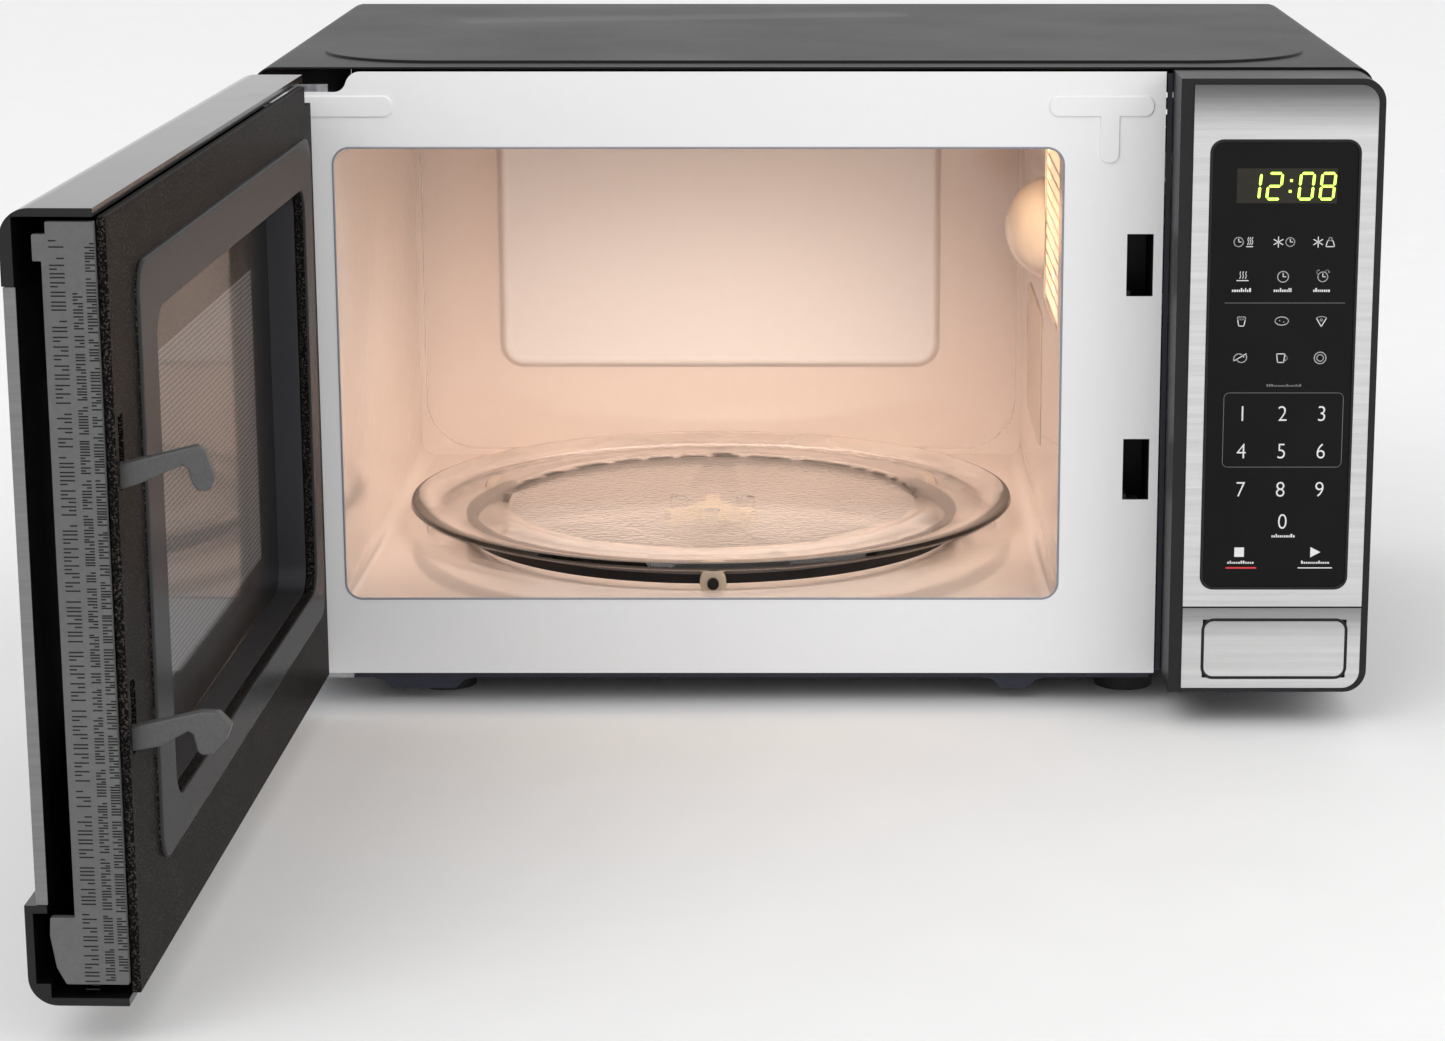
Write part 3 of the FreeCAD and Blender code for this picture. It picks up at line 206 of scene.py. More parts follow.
hairline = (70, 70, 4200)  # scratches about 14 mm long and a quarter of a millimetre apart
look = {
    "coverBlack": makeMaterial("coverBlack", (0.006, 0.006, 0.007), (0.014, 0.014, 0.015), 0.34,
                               0.12, 0.00004, inputs={"Scale": 1600.0}, Specular_IOR_Level=0.1),
    "panBlue": makeMaterial("panBlue", (0.012, 0.013, 0.024), (0.03, 0.032, 0.055), 0.35, 0.2,
                            0.00004, inputs={"Scale": 700.0}, Specular_IOR_Level=0.4),
    # painted shade: near-black for the strip that stands in the gap beside the control panel
    "gapShadeBlack": makeMaterial("gapShadeBlack", (0.006, 0.006, 0.01), (0.012, 0.012, 0.02), 0.3,
                                0.1, 0.00001, inputs={"Scale": 300.0}),
    "plateWhite": makeMaterial("plateWhite", (0.84, 0.84, 0.85), (0.86, 0.86, 0.87), 0.22, 0.04,
                               inputs={"Scale": 220.0}, Coat_Weight=0.2),
    "enamelCream": makeMaterial("enamelCream", (0.79, 0.67, 0.61), (0.81, 0.695, 0.635), 0.1,
                                0.05, inputs={"Scale": 160.0, "Patch": 8.0}, Coat_Weight=0.4),
    # painted reflection: a paler, greyer copy of the cavity enamel for the pressed centre panel of the
    # back wall
    "enamelPaintedReflection": makeMaterial("enamelPaintedReflection", (0.8, 0.75, 0.74), (0.82, 0.77, 0.76), 0.12, 0.05,
                               inputs={"Scale": 160.0, "Patch": 8.0}, Coat_Weight=0.4),
    # painted shade: grey for the dark outline round the cavity opening
    "rimGrey": makeMaterial("rimGrey", (0.2, 0.21, 0.26), (0.3, 0.31, 0.36), 0.25, 0.1),
    "steelBrushed": makeMaterial("steelBrushed", (0.42, 0.42, 0.42), (0.92, 0.92, 0.92), 0.3,
                                 0.14, 0.00002, brushedGroup, hairline, Metallic=1.0),
    "steelDoor": makeMaterial("steelDoor", (0.13, 0.13, 0.13), (0.3, 0.3, 0.3), 0.3, 0.14, 0.00002,
                              brushedGroup, hairline, Metallic=1.0),
    "steelZinc": makeMaterial("steelZinc", (0.35, 0.36, 0.38), (0.62, 0.63, 0.66), 0.2, 0.25,
                              0.00003, inputs={"Scale": 400.0}, Metallic=1.0),
    "blackPlastic": makeMaterial("blackPlastic", (0.005, 0.005, 0.006), (0.016, 0.016, 0.018),
                                 0.3, 0.2, 0.00005, inputs={"Scale": 1400.0},
                                 Specular_IOR_Level=0.25),
    "glossBlack": makeMaterial("glossBlack", (0.003, 0.003, 0.0035), (0.007, 0.007, 0.008), 0.1,
                               0.05, 0.00001, inputs={"Scale": 60.0}, Specular_IOR_Level=0.3),
    "keypadBlack": makeMaterial("keypadBlack", (0.003, 0.003, 0.003), (0.006, 0.006, 0.006),
                                0.12, 0.05, 0.00001, inputs={"Scale": 60.0},
                                Specular_IOR_Level=0.12),
    "hookGrey": makeMaterial("hookGrey", (0.055, 0.055, 0.055), (0.085, 0.085, 0.085), 0.3, 0.15,
                             0.00003, inputs={"Scale": 900.0}, Specular_IOR_Level=0.35),
    "stripGrey": makeMaterial("stripGrey", (0.085, 0.085, 0.085), (0.115, 0.115, 0.115), 0.32, 0.1,
                              0.00002, inputs={"Scale": 500.0}, Specular_IOR_Level=0.35),
    # black for the door's print, also used as painted shade in the cavity wall's slits
    "inkAndSlitShade": makeMaterial("inkAndSlitShade", (0.004, 0.004, 0.004), (0.01, 0.01, 0.01), 0.5, 0.1,
                        Specular_IOR_Level=0.2),
    "printWhite": makeMaterial("printWhite", (0.66, 0.66, 0.66), (0.8, 0.8, 0.8), 0.45, 0.1),
    "printRed": makeMaterial("printRed", (0.65, 0.02, 0.03), (0.8, 0.04, 0.05), 0.45, 0.1),
    "printDim": makeMaterial("printDim", (0.13, 0.13, 0.13), (0.18, 0.18, 0.18), 0.45, 0.1),
    "creamPlastic": makeMaterial("creamPlastic", (0.72, 0.58, 0.42), (0.8, 0.68, 0.52), 0.35,
                                 0.15, 0.00004),
    "mica": makeMaterial("mica", (0.66, 0.54, 0.46), (0.74, 0.62, 0.54), 0.3, 0.25, 0.00005,
                         inputs={"Scale": 200.0}),
    "rubber": makeMaterial("rubber", (0.012, 0.012, 0.012), (0.03, 0.03, 0.03), 0.6, 0.2, 0.0001,
                           inputs={"Scale": 700.0}),
    "copper": makeMaterial("copper", (0.55, 0.22, 0.1), (0.75, 0.36, 0.2), 0.25, 0.2, 0.00008,
                           inputs={"Scale": 900.0}, Metallic=1.0),
    "boardGreen": makeMaterial("boardGreen", (0.01, 0.08, 0.03), (0.02, 0.13, 0.05), 0.35, 0.2,
                               0.00004),
    "coreSteel": makeMaterial("coreSteel", (0.04, 0.04, 0.045), (0.12, 0.12, 0.13), 0.4, 0.25,
                              0.00006, brushedGroup, (9, 2600, 9), Metallic=0.8),
    "displayDark": makeMaterial("displayDark", (0.02, 0.018, 0.014), (0.03, 0.027, 0.02), 0.15,
                                0.06, Specular_IOR_Level=0.15),
    "floorPale": makeMaterial("floorPale", (0.88, 0.88, 0.88), (0.9, 0.9, 0.9), 0.6, 0.1,
                              inputs={"Scale": 30.0}, Specular_IOR_Level=0.2),
}


def paintShadeAcross(name, shadeSpans):
    # painted shade: the rolled edges of the steel front are not modelled, so they are painted darker
    # between these heights, in metres
    material = look[name]
    tree = material.node_tree
    shader = tree.nodes["Principled BSDF"]
    coords = next(n for n in tree.nodes if n.type == "TEX_COORD")
    parts = addNode(tree, "ShaderNodeSeparateXYZ")
    tree.links.new(coords.outputs["Object"], parts.inputs[0])
    for low, high, depth in shadeSpans:
        ramp = addNode(tree, "ShaderNodeMapRange", {"From Min": low, "From Max": high,
                                                    "To Min": 0.0, "To Max": depth},
                       interpolation_type="SMOOTHSTEP")
        tree.links.new(parts.outputs["Z"], ramp.inputs["Value"])
        mix = addNode(tree, "ShaderNodeMix", data_type="RGBA")
        tree.links.new(shader.inputs["Base Color"].links[0].from_socket, mix.inputs[6])
        # painted shade colour, mixed in towards the rolled edge
        mix.inputs[7].default_value = (0.02, 0.02, 0.02, 1)
        tree.links.new(ramp.outputs[0], mix.inputs[0])
        tree.links.new(mix.outputs[2], shader.inputs["Base Color"])


look["steelPanelPaintedShade"] = look["steelBrushed"].copy()
look["steelPanelPaintedShade"].name = "steelPanelPaintedShade"
# painted shade: the rolled top of the panel face is painted darker
paintShadeAcross("steelPanelPaintedShade", ((0.236, 0.2575, 0.82),))
look["steelPocketPaintedShade"] = look["steelBrushed"].copy()
look["steelPocketPaintedShade"].name = "steelPocketPaintedShade"
# painted shade: the lower pocket, and the button cap that shares its steel, are painted darker towards
# the pocket's top
paintShadeAcross("steelPocketPaintedShade", ((0.034, 0.0505, 0.6),))


def makeGlass(name, color, rough, refraction=1.48):
    tone = tuple(min(1, c * 1.04) for c in color)
    return makeMaterial(name, color, tone, rough, 0.03, inputs={"Scale": 500.0},
                        Transmission_Weight=1.0, IOR=refraction)


hammered = {"radius": 0.088, "scale": 420.0, "strength": 0.3, "depth": 0.0002}


def stippleTray(material):
    # hammered underside inside a circle round the tray's axis
    tree = material.node_tree
    shader = tree.nodes["Principled BSDF"]
    low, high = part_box("glass_tray")
    middle = (low + high) / 2
    coords = next(n for n in tree.nodes if n.type == "TEX_COORD")
    offset = addNode(tree, "ShaderNodeVectorMath", operation="SUBTRACT")
    tree.links.new(coords.outputs["Object"], offset.inputs[0])
    offset.inputs[1].default_value = middle
    flat = addNode(tree, "ShaderNodeVectorMath", operation="MULTIPLY")
    tree.links.new(offset.outputs[0], flat.inputs[0])
    flat.inputs[1].default_value = (1, 1, 0)
    length = addNode(tree, "ShaderNodeVectorMath", operation="LENGTH")
    tree.links.new(flat.outputs[0], length.inputs[0])
    inside = addMath(tree, "LESS_THAN", length.outputs["Value"], hammered["radius"])
    noise = addNode(tree, "ShaderNodeTexNoise", {"Scale": hammered["scale"], "Detail": 2.0})
    tree.links.new(coords.outputs["Object"], noise.inputs["Vector"])
    bump = addNode(tree, "ShaderNodeBump", {"Strength": hammered["strength"],
                                            "Distance": hammered["depth"]})
    tree.links.new(addMath(tree, "MULTIPLY", noise.outputs[0], inside), bump.inputs["Height"])
    tree.links.new(bump.outputs[0], shader.inputs["Normal"])


look["trayGlass"] = makeGlass("trayGlass", (0.98, 0.98, 0.96), 0.03)
look["film"] = makeGlass("film", (0.9, 0.9, 0.9), 0.03, 1.05)
stippleTray(look["trayGlass"])
look["smokedGlass"] = makeGlass("smokedGlass", (0.1, 0.1, 0.11), 0.03)
look["bulbGlass"] = makeGlass("bulbGlass", (0.95, 0.9, 0.8), 0.05)


def makeGlow(name, color, strength):
    material = makeMaterial(name, color, color, 0.4, 0.1)
    shader = material.node_tree.nodes["Principled BSDF"]
    shader.inputs["Emission Color"].default_value = (*color, 1)
    shader.inputs["Emission Strength"].default_value = strength
    return material


look["lampGlow"] = makeGlow("lampGlow", (1.0, 0.8, 0.5), 3.2)
look["digitGlow"] = makeGlow("digitGlow", (0.5, 0.95, 0.08), 2.6)


sealFrame = {"depth": 0.0201, "color": (0.045, 0.045, 0.047, 1), "rough": 0.2}


def makeCoverMaterial():
    # speckled outer part, glossy grey on the raised sealing frame
    material = makeMaterial("chokeCover", (0.006, 0.0055, 0.0052), (0.1, 0.088, 0.082), 0.38, 0.2,
                            0.00005, fleckGroup, Specular_IOR_Level=0.01)
    tree = material.node_tree
    shader = tree.nodes["Principled BSDF"]
    normal = doorMatrix.to_3x3() @ Vector((0, 1, 0))
    origin = doorMatrix @ Vector((0, sealFrame["depth"], 0))
    coords = next(n for n in tree.nodes if n.type == "TEX_COORD")
    dot = addNode(tree, "ShaderNodeVectorMath", operation="DOT_PRODUCT")
    tree.links.new(coords.outputs["Object"], dot.inputs[0])
    dot.inputs[1].default_value = normal
    raised = addMath(tree, "GREATER_THAN", dot.outputs["Value"], normal.dot(origin))
    tint = addNode(tree, "ShaderNodeMix", data_type="RGBA")
    tint.inputs[7].default_value = sealFrame["color"]
    gloss = addNode(tree, "ShaderNodeMix", data_type="FLOAT")
    gloss.inputs[3].default_value = sealFrame["rough"]
    for mix, socketName, first, result in ((tint, "Base Color", 6, 2), (gloss, "Roughness", 2, 0)):
        tree.links.new(shader.inputs[socketName].links[0].from_socket, mix.inputs[first])
        tree.links.new(raised, mix.inputs[0])
        tree.links.new(mix.outputs[result], shader.inputs[socketName])
    return material


punched = {"start": 0.058, "end": 0.282, "low": 0.082, "high": 0.193,
           "land": (0.3, 0.3, 0.31, 1), "hole": (0.03, 0.03, 0.032, 1),
           "margin": (0.006, 0.006, 0.007, 1)}


def makeScreenMaterial():
    # perforated steel: pale lands and dark holes inside the punched area, plain dark outside it
    material = makeMaterial("screenSteel", (0.05, 0.05, 0.052), (0.09, 0.09, 0.092), 0.35, 0.15,
                            Metallic=0.3)
    tree = material.node_tree
    shader = tree.nodes["Principled BSDF"]
    coords = next(n for n in tree.nodes if n.type == "TEX_COORD")
    parts = addNode(tree, "ShaderNodeSeparateXYZ")
    tree.links.new(coords.outputs["Object"], parts.inputs[0])
    holes = addNode(tree, "ShaderNodeGroup", node_tree=holeGroup)
    tree.links.new(parts.outputs["Y"], holes.inputs["Across"])
    tree.links.new(parts.outputs["Z"], holes.inputs["Up"])
    nearEnd = (doorMatrix @ Vector((punched["start"], 0, 0))).y
    farEnd = (doorMatrix @ Vector((punched["end"], 0, 0))).y
    inside = addMath(tree, "LESS_THAN", parts.outputs["Y"], nearEnd)
    inside = addMath(tree, "MULTIPLY", inside,
                     addMath(tree, "GREATER_THAN", parts.outputs["Y"], farEnd))
    inside = addMath(tree, "MULTIPLY", inside,
                     addMath(tree, "LESS_THAN", parts.outputs["Z"], punched["high"]))
    inside = addMath(tree, "MULTIPLY", inside,
                     addMath(tree, "GREATER_THAN", parts.outputs["Z"], punched["low"]))
    mix = addNode(tree, "ShaderNodeMix", data_type="RGBA")
    mix.inputs[6].default_value = punched["land"]
    mix.inputs[7].default_value = punched["hole"]
    tree.links.new(holes.outputs["Mask"], mix.inputs[0])
    cover = addNode(tree, "ShaderNodeMix", data_type="RGBA")
    cover.inputs[6].default_value = punched["margin"]
    tree.links.new(mix.outputs[2], cover.inputs[7])
    tree.links.new(inside, cover.inputs[0])
    tree.links.new(cover.outputs[2], shader.inputs["Base Color"])
    return material


look["chokeCover"] = makeCoverMaterial()
look["screenSteel"] = makeScreenMaterial()
print("materials ready:", len(look))


nodeLook = {
    "outer_cover": "coverBlack", "base_plate": "panBlue", "feet": "rubber",
    "rear_panel": "coverBlack", "rear_spacers": "blackPlastic", "front_plate": "plateWhite",
    "cavity_shell": "enamelCream", "lamp_grille": "enamelCream", "waveguide": "steelZinc",
    "waveguide_cover": "mica", "cavity_lamp": "bulbGlass", "turntable_motor": "steelZinc",
    "drive_coupler": "creamPlastic", "glass_tray": "trayGlass", "roller_1": "creamPlastic",
    "roller_2": "creamPlastic", "roller_3": "creamPlastic", "roller_ring": "blackPlastic",
    "panel_bezel": "blackPlastic", "panel_face": "steelPanelPaintedShade", "panel_pocket": "steelPocketPaintedShade",
    "keypad": "keypadBlack", "display_window": "displayDark", "control_board": "boardGreen",
    "door_button": "blackPlastic", "button_cap": "steelPocketPaintedShade", "button_guide": "blackPlastic",
    "button_spring": "steelZinc", "release_lever": "hookGrey",
    "interlock_bracket": "blackPlastic", "interlock_switches": "glossBlack",
    "magnetron_anode": "steelZinc", "magnetron_fins": "steelZinc", "magnetron_yoke": "steelZinc",
    "transformer_core": "coreSteel", "transformer_windings": "copper",
    "capacitor": "steelZinc", "high_voltage_diode": "glossBlack", "fan_shroud": "blackPlastic",
    "fan_motor": "coreSteel", "fan_rotor": "steelZinc", "fan_blade": "hookGrey",
    "noise_filter": "boardGreen", "thermal_cutouts": "blackPlastic",
    "cord_gland": "blackPlastic", "upper_hinge": "steelZinc", "lower_hinge": "steelZinc",
    "screws": "steelZinc", "door_frame": "glossBlack", "door_steel": "steelDoor",
    "door_glass": "smokedGlass", "choke_frame": "coreSteel", "door_screen": "screenSteel",
    "inner_window": "film", "choke_cover": "chokeCover", "edge_strip": "stripGrey",
    "latch_bar": "hookGrey", "latch_spring": "steelZinc", "latch_guides": "blackPlastic",
}
softEdges = {
    "panel_bezel": 0.0008, "panel_face": 0.0003, "panel_pocket": 0.0003, "button_cap": 0.0004,
    "door_frame": 0.0009, "choke_cover": 0.0006, "edge_strip": 0.0004, "latch_bar": 0.0008,
    "front_plate": 0.0003, "outer_cover": 0.0002, "keypad": 0.0002, "rear_spacers": 0.0012,
    "glass_tray": 0.0006, "drive_coupler": 0.0006, "roller_1": 0.0005, "roller_2": 0.0005,
    "roller_3": 0.0005, "roller_ring": 0.0005, "feet": 0.001, "lower_hinge": 0.0003,
    "upper_hinge": 0.0003, "door_steel": 0.0002, "screws": 0.0005, "cord_gland": 0.0005,
}


def soften(name, width):
    obj = nodes[name]
    weld = obj.modifiers.new("weld", "WELD")
    weld.merge_threshold = 0.00001
    bevel = obj.modifiers.new("bevel", "BEVEL")
    bevel.width = width
    bevel.segments = 2
    bevel.limit_method = "ANGLE"
    bevel.angle_limit = math.radians(40)
    bevel.harden_normals = False
    obj.modifiers.new("normals", "WEIGHTED_NORMAL").keep_sharp = False


for name, obj in nodes.items():
    material = look[nodeLook[name]]
    obj.data.materials.clear()
    obj.data.materials.append(material)
    for face in obj.data.polygons:
        face.material_index = 0
for name, width in softEdges.items():
    soften(name, width)
print("frame nodes dressed")


def addPiece(name, verts, faces, material, body, smooth=False, matrix=None):
    mesh = bpy.data.meshes.new(name)
    mesh.from_pydata(verts, [], faces)
    if matrix:
        mesh.transform(matrix)
    mesh.materials.append(look[material])
    if smooth:
        mesh.polygons.foreach_set("use_smooth", [True] * len(mesh.polygons))
    mesh.update()
    obj = bpy.data.objects.new(name, mesh)
    scene.collection.objects.link(obj)
    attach(obj, body)
    return obj


def slab(verts, faces, outline, put, near, far):
    # closed flat piece: outline in two directions, put() places a point at a depth
    base = len(verts)
    count = len(outline)
    verts += [put(a, b, near) for a, b in outline] + [put(a, b, far) for a, b in outline]
    faces.append(tuple(range(base, base + count)))
    faces.append(tuple(range(base + 2 * count - 1, base + count - 1, -1)))
    for i in range(count):
        j = (i + 1) % count
        faces.append((base + j, base + i, base + count + i, base + count + j))


def bar(a, b, c, d):
    return [(a, b), (c, b), (c, d), (a, d)]


def stroke(points, width):
    # quads along a line of points
    quads = []
    for (ax, ay), (bx, by) in zip(points, points[1:]):
        length = math.hypot(bx - ax, by - ay) or 1
        nx, ny = -(by - ay) / length * width / 2, (bx - ax) / length * width / 2
        ex, ey = (bx - ax) / length * width * 0.4, (by - ay) / length * width * 0.4
        quads.append([(ax + nx - ex, ay + ny - ey), (ax - nx - ex, ay - ny - ey),
                      (bx - nx + ex, by - ny + ey), (bx + nx + ex, by + ny + ey)])
    return quads


def arc(cx, cy, radius, start, end, steps=20, squash=1.0):
    return [(cx + radius * math.cos(math.radians(start + (end - start) * i / steps)),
             cy + squash * radius * math.sin(math.radians(start + (end - start) * i / steps)))
            for i in range(steps + 1)]


def roundedRect(x0, x1, z0, z1, radius, steps=8):
    points = []
    for cx, cz, start in ((x1 - radius, z1 - radius, 0), (x0 + radius, z1 - radius, 90),
                          (x0 + radius, z0 + radius, 180), (x1 - radius, z0 + radius, 270)):
        points += arc(cx, cz, radius, start, start + 90, steps)
    return points


keypad = {
    "columns": (167.9, 183.6, 199.0), "line": 0.34,
    "digitRows": ((127.8, "123"), (112.8, "456"), (97.4, "789")),
    "zero": (184.8, 84.4), "faceY": -158.4, "lift": 0.035,
    "wordRows": (195.9, 164.9, 150.3), "iconRow": 182.3, "captionRow": 177.1,
    "iconShift": 1.4, "rule": (159.8, 171.9, 206.6, 172.1),
    "box": (160.5, 207.2, 106.7, 136.4), "boxCaption": (184, 139.4, 14, 1.0, 5),
    "captions": ((8, 11), (7, 12), (7, 13)),  # width and seed under each icon
    "lowCaptions": ((185.2, 79.0, 9, 1.4, 21), (169, 68.2, 11, 1.2, 22),
                    (198.2, 68.2, 11, 1.2, 23)),
    "stop": (166.2, 70.4, 170.0, 74.2), "stopLine": (162.9, 65.6, 175.0, 66.2),
    "start": [(196.2, 70.2), (200.2, 72.3), (196.2, 74.4)],
    "startLine": (191.4, 65.7, 205.0, 66.1),
}


def onPanel(a, b, depth):
    return (a / 1000, (keypad["faceY"] - depth) / 1000, b / 1000)


def panelPrint(name, shapes, material):
    verts, faces = [], []
    for shape in shapes:
        slab(verts, faces, shape, onPanel, keypad["lift"], 0.0)
    return addPiece(name, verts, faces, material, "casing")


def buildDigits():
    curve = bpy.data.curves.new("digit", "FONT")
    curve.size = 0.0088
    curve.align_x = "CENTER"
    curve.align_y = "CENTER"
    curve.resolution_u = 4
    curve.extrude = 0.0000175
    curve.offset = -0.0001
    holder = bpy.data.objects.new("digit", curve)
    scene.collection.objects.link(holder)
    places = [(x, z, text[i]) for z, text in keypad["digitRows"]
              for i, x in enumerate(keypad["columns"])]
    places.append((*keypad["zero"], "0"))
    combined = bmesh.new()
    for x, z, text in places:
        curve.body = text
        bpy.context.view_layer.update()
        mesh = bpy.data.meshes.new_from_object(holder.evaluated_get(
            bpy.context.evaluated_depsgraph_get()))
        place = (Matrix.Translation(onPanel(x, z, 0.0175))
                 @ Matrix.Rotation(math.radians(90), 4, "X") @ Matrix.Diagonal((0.92, 1, 1, 1)))
        mesh.transform(place)
        combined.from_mesh(mesh)
        bpy.data.meshes.remove(mesh)
    bpy.data.objects.remove(holder)
    bpy.data.curves.remove(curve)
    mesh = bpy.data.meshes.new("keyDigits")
    combined.to_mesh(mesh)
    combined.free()
    mesh.materials.append(look["printWhite"])
    obj = bpy.data.objects.new("keyDigits", mesh)
    scene.collection.objects.link(obj)
    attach(obj, "casing")


def caption(cx, cz, width, height=1.3, seed=1):
    # a few short upright marks that stand for a small caption
    dice = random.Random(seed)
    shapes = []
    x = cx - width / 2
    while x < cx + width / 2 - 0.4:
        step = 0.4 + 0.3 * dice.random()
        tall = height * (0.6 if dice.random() < 0.7 else 1.0)
        shapes.append(bar(x, cz - height / 2, x + step, cz - height / 2 + tall))
        x += step + 0.3
    return shapes


def clockIcon(cx, cz, radius, bells=False):
    w = keypad["line"]
    shapes = stroke(arc(cx, cz, radius, 0, 360, 24), w)
    shapes += stroke([(cx, cz + radius * 0.62), (cx, cz), (cx + radius * 0.5, cz)], w)
    if bells:
        for side in (-1, 1):
            shapes += stroke(arc(cx + side * radius * 0.85, cz + radius * 0.95, radius * 0.4,
                                 45 - side * 45, 225 - side * 45, 8), w)
    return shapes


def iconShapes():
    w = keypad["line"]
    left, middle, right = (c - keypad["iconShift"] for c in keypad["columns"])
    top = keypad["wordRows"][0]
    shapes = []
    # cook for a time, defrost by time, defrost by weight
    shapes += clockIcon(left - 1.9, top, 1.8) + stroke(
        [(left + 1.2, top - 1.8), (left + 3.6, top - 1.8)], w)
    for shift in (1.6, 2.4, 3.2):
        shapes += stroke([(left + shift, top - 1), (left + shift + 0.4, top), (left + shift, top + 1),
                          (left + shift + 0.3, top + 1.8)], w * 0.8)
    for cx, cz in ((middle - 2.2, top), (right - 2.2, top)):
        for turn in range(3):
            a = math.radians(60 * turn + 30)
            dx, dz = 2 * math.cos(a), 2 * math.sin(a)
            shapes += stroke([(cx - dx, cz - dz), (cx + dx, cz + dz)], w)
    shapes += clockIcon(middle + 2.4, top, 1.7)
    shapes += stroke([(right + 0.8, top - 1.8), (right + 1.5, top + 0.6), (right + 3.5, top + 0.6),
                      (right + 4.2, top - 1.8), (right + 0.8, top - 1.8)], w)
    shapes += stroke(arc(right + 2.5, top + 1.2, 0.6, 0, 360, 10), w)
    # power, clock, timer
    row = keypad["iconRow"]
    for shift in (-1.1, 0, 1.1):
        shapes += stroke([(left + shift, row - 0.6), (left + shift + 0.4, row + 0.3),
                          (left + shift, row + 1.2), (left + shift + 0.3, row + 2)], w * 0.8)
    shapes += stroke([(left - 2.2, row - 1.5), (left + 2.2, row - 1.5)], w)
    shapes += clockIcon(middle, row, 2.1) + clockIcon(right, row, 1.9, True)
    # popped corn, potato, slice
    row = keypad["wordRows"][1]
    shapes += stroke([(left - 1.5, row + 0.6), (left - 1, row - 2), (left + 1, row - 2),
                      (left + 1.5, row + 0.6), (left - 1.5, row + 0.6)], w)
    for shift in (-1, 0, 1):
        shapes += stroke(arc(left + shift, row + 1.1, 0.6, 0, 360, 8), w * 0.8)
    shapes += stroke(arc(middle, row, 2.6, 0, 360, 24, 0.62), w)
    shapes += [bar(middle - 1, row, middle - 0.7, row + 0.3), bar(middle + 0.6, row - 0.5,
                                                                middle + 0.9, row - 0.2)]
    shapes += stroke([(right - 2, row + 1.2), (right, row - 2.2), (right + 2, row + 1.2)], w)
    shapes += stroke(arc(right, row - 2.2, 3.95, 59, 121, 10), w)
    shapes += stroke(arc(right, row + 0.4, 0.45, 0, 360, 8), w * 0.8)
    # frozen greens, cup, plate
    row = keypad["wordRows"][2]
    shapes += stroke(arc(left - 0.6, row - 0.4, 2.0, 20, 200, 12), w)
    shapes += stroke([(left - 2.4, row - 1.1), (left + 2.2, row + 1.6)], w)
    shapes += stroke(arc(left + 0.4, row + 0.2, 2.0, 200, 380, 12), w)
    shapes += stroke([(middle - 1.6, row + 1.6), (middle - 1.2, row - 1.8), (middle + 1.2, row - 1.8),
                      (middle + 1.6, row + 1.6), (middle - 1.6, row + 1.6)], w)
    shapes += stroke(arc(middle + 1.7, row, 0.9, -80, 80, 8), w)
    shapes += stroke(arc(right, row, 2.3, 0, 360, 24), w) + stroke(arc(right, row, 1.3, 0, 360, 16), w)
    # stop square and start triangle
    return shapes + [bar(*keypad["stop"]), keypad["start"], bar(*keypad["startLine"])]


def dimShapes():
    shapes = [bar(*keypad["rule"])]
    frameLine = roundedRect(*keypad["box"], 2.0, 4)
    shapes += stroke(frameLine + frameLine[:1], 0.2)
    return shapes + caption(*keypad["boxCaption"])


def captionShapes():
    shapes = []
    for column, (width, seed) in zip(keypad["columns"], keypad["captions"]):
        shapes += caption(column - keypad["iconShift"], keypad["captionRow"], width, 1.5, seed)
    for values in keypad["lowCaptions"]:
        shapes += caption(*values)
    return shapes


buildDigits()
panelPrint("keyIcons", iconShapes(), "printWhite")
panelPrint("keyCaptions", captionShapes(), "printWhite")
panelPrint("keyLines", dimShapes(), "printDim")
panelPrint("stopLine", [bar(*keypad["stopLine"])], "printRed")
print("keypad printed")


clock = {"left": 166.2, "low": 212.1, "width": 6.1, "height": 11.0, "step": 8.2, "thick": 1.0,
         "slant": 0.09, "y": -158.32, "colon": 4.1}
segments = {"0": "abcdef", "1": "bc", "2": "abdeg", "8": "abcdefg"}


def segmentShape(letter, x, z):
    w, h, t = clock["width"], clock["height"], clock["thick"]
    g = 0.25
    half = h / 2
    flat = {"a": h - t / 2, "g": half, "d": t / 2}
    if letter in flat:
        c = flat[letter]
        raw = [(t / 2 + g, c), (t + g, c + t / 2), (w - t - g, c + t / 2), (w - t / 2 - g, c),
               (w - t - g, c - t / 2), (t + g, c - t / 2)]
    else:
        c = w - t / 2 if letter in "bc" else t / 2
        low, high = (half + g, h - t / 2 - g) if letter in "bf" else (t / 2 + g, half - g)
        raw = [(c, low), (c + t / 2, low + t / 2), (c + t / 2, high - t / 2), (c, high),
               (c - t / 2, high - t / 2), (c - t / 2, low + t / 2)]
    return [(x + a + b * clock["slant"], z + b) for a, b in raw]


def buildClock():
    shapes = []
    x = clock["left"]
    for character in "12:08":
        if character == ":":
            for up in (3.0, 7.2):
                a = x + up * clock["slant"] + 0.6
                shapes.append(bar(a, clock["low"] + up, a + 1.0, clock["low"] + up + 1.0))
            x += clock["colon"]
            continue
        for letter in segments[character]:
            shapes.append(segmentShape(letter, x, clock["low"]))
        x += clock["step"]
    verts, faces = [], []
    for shape in shapes:
        slab(verts, faces, shape, lambda a, b, d: (a / 1000, (clock["y"] - d) / 1000, b / 1000),
             0.03, 0.0)
    addPiece("clockDigits", verts, faces, "digitGlow", "casing")


buildClock()
print("clock lit")


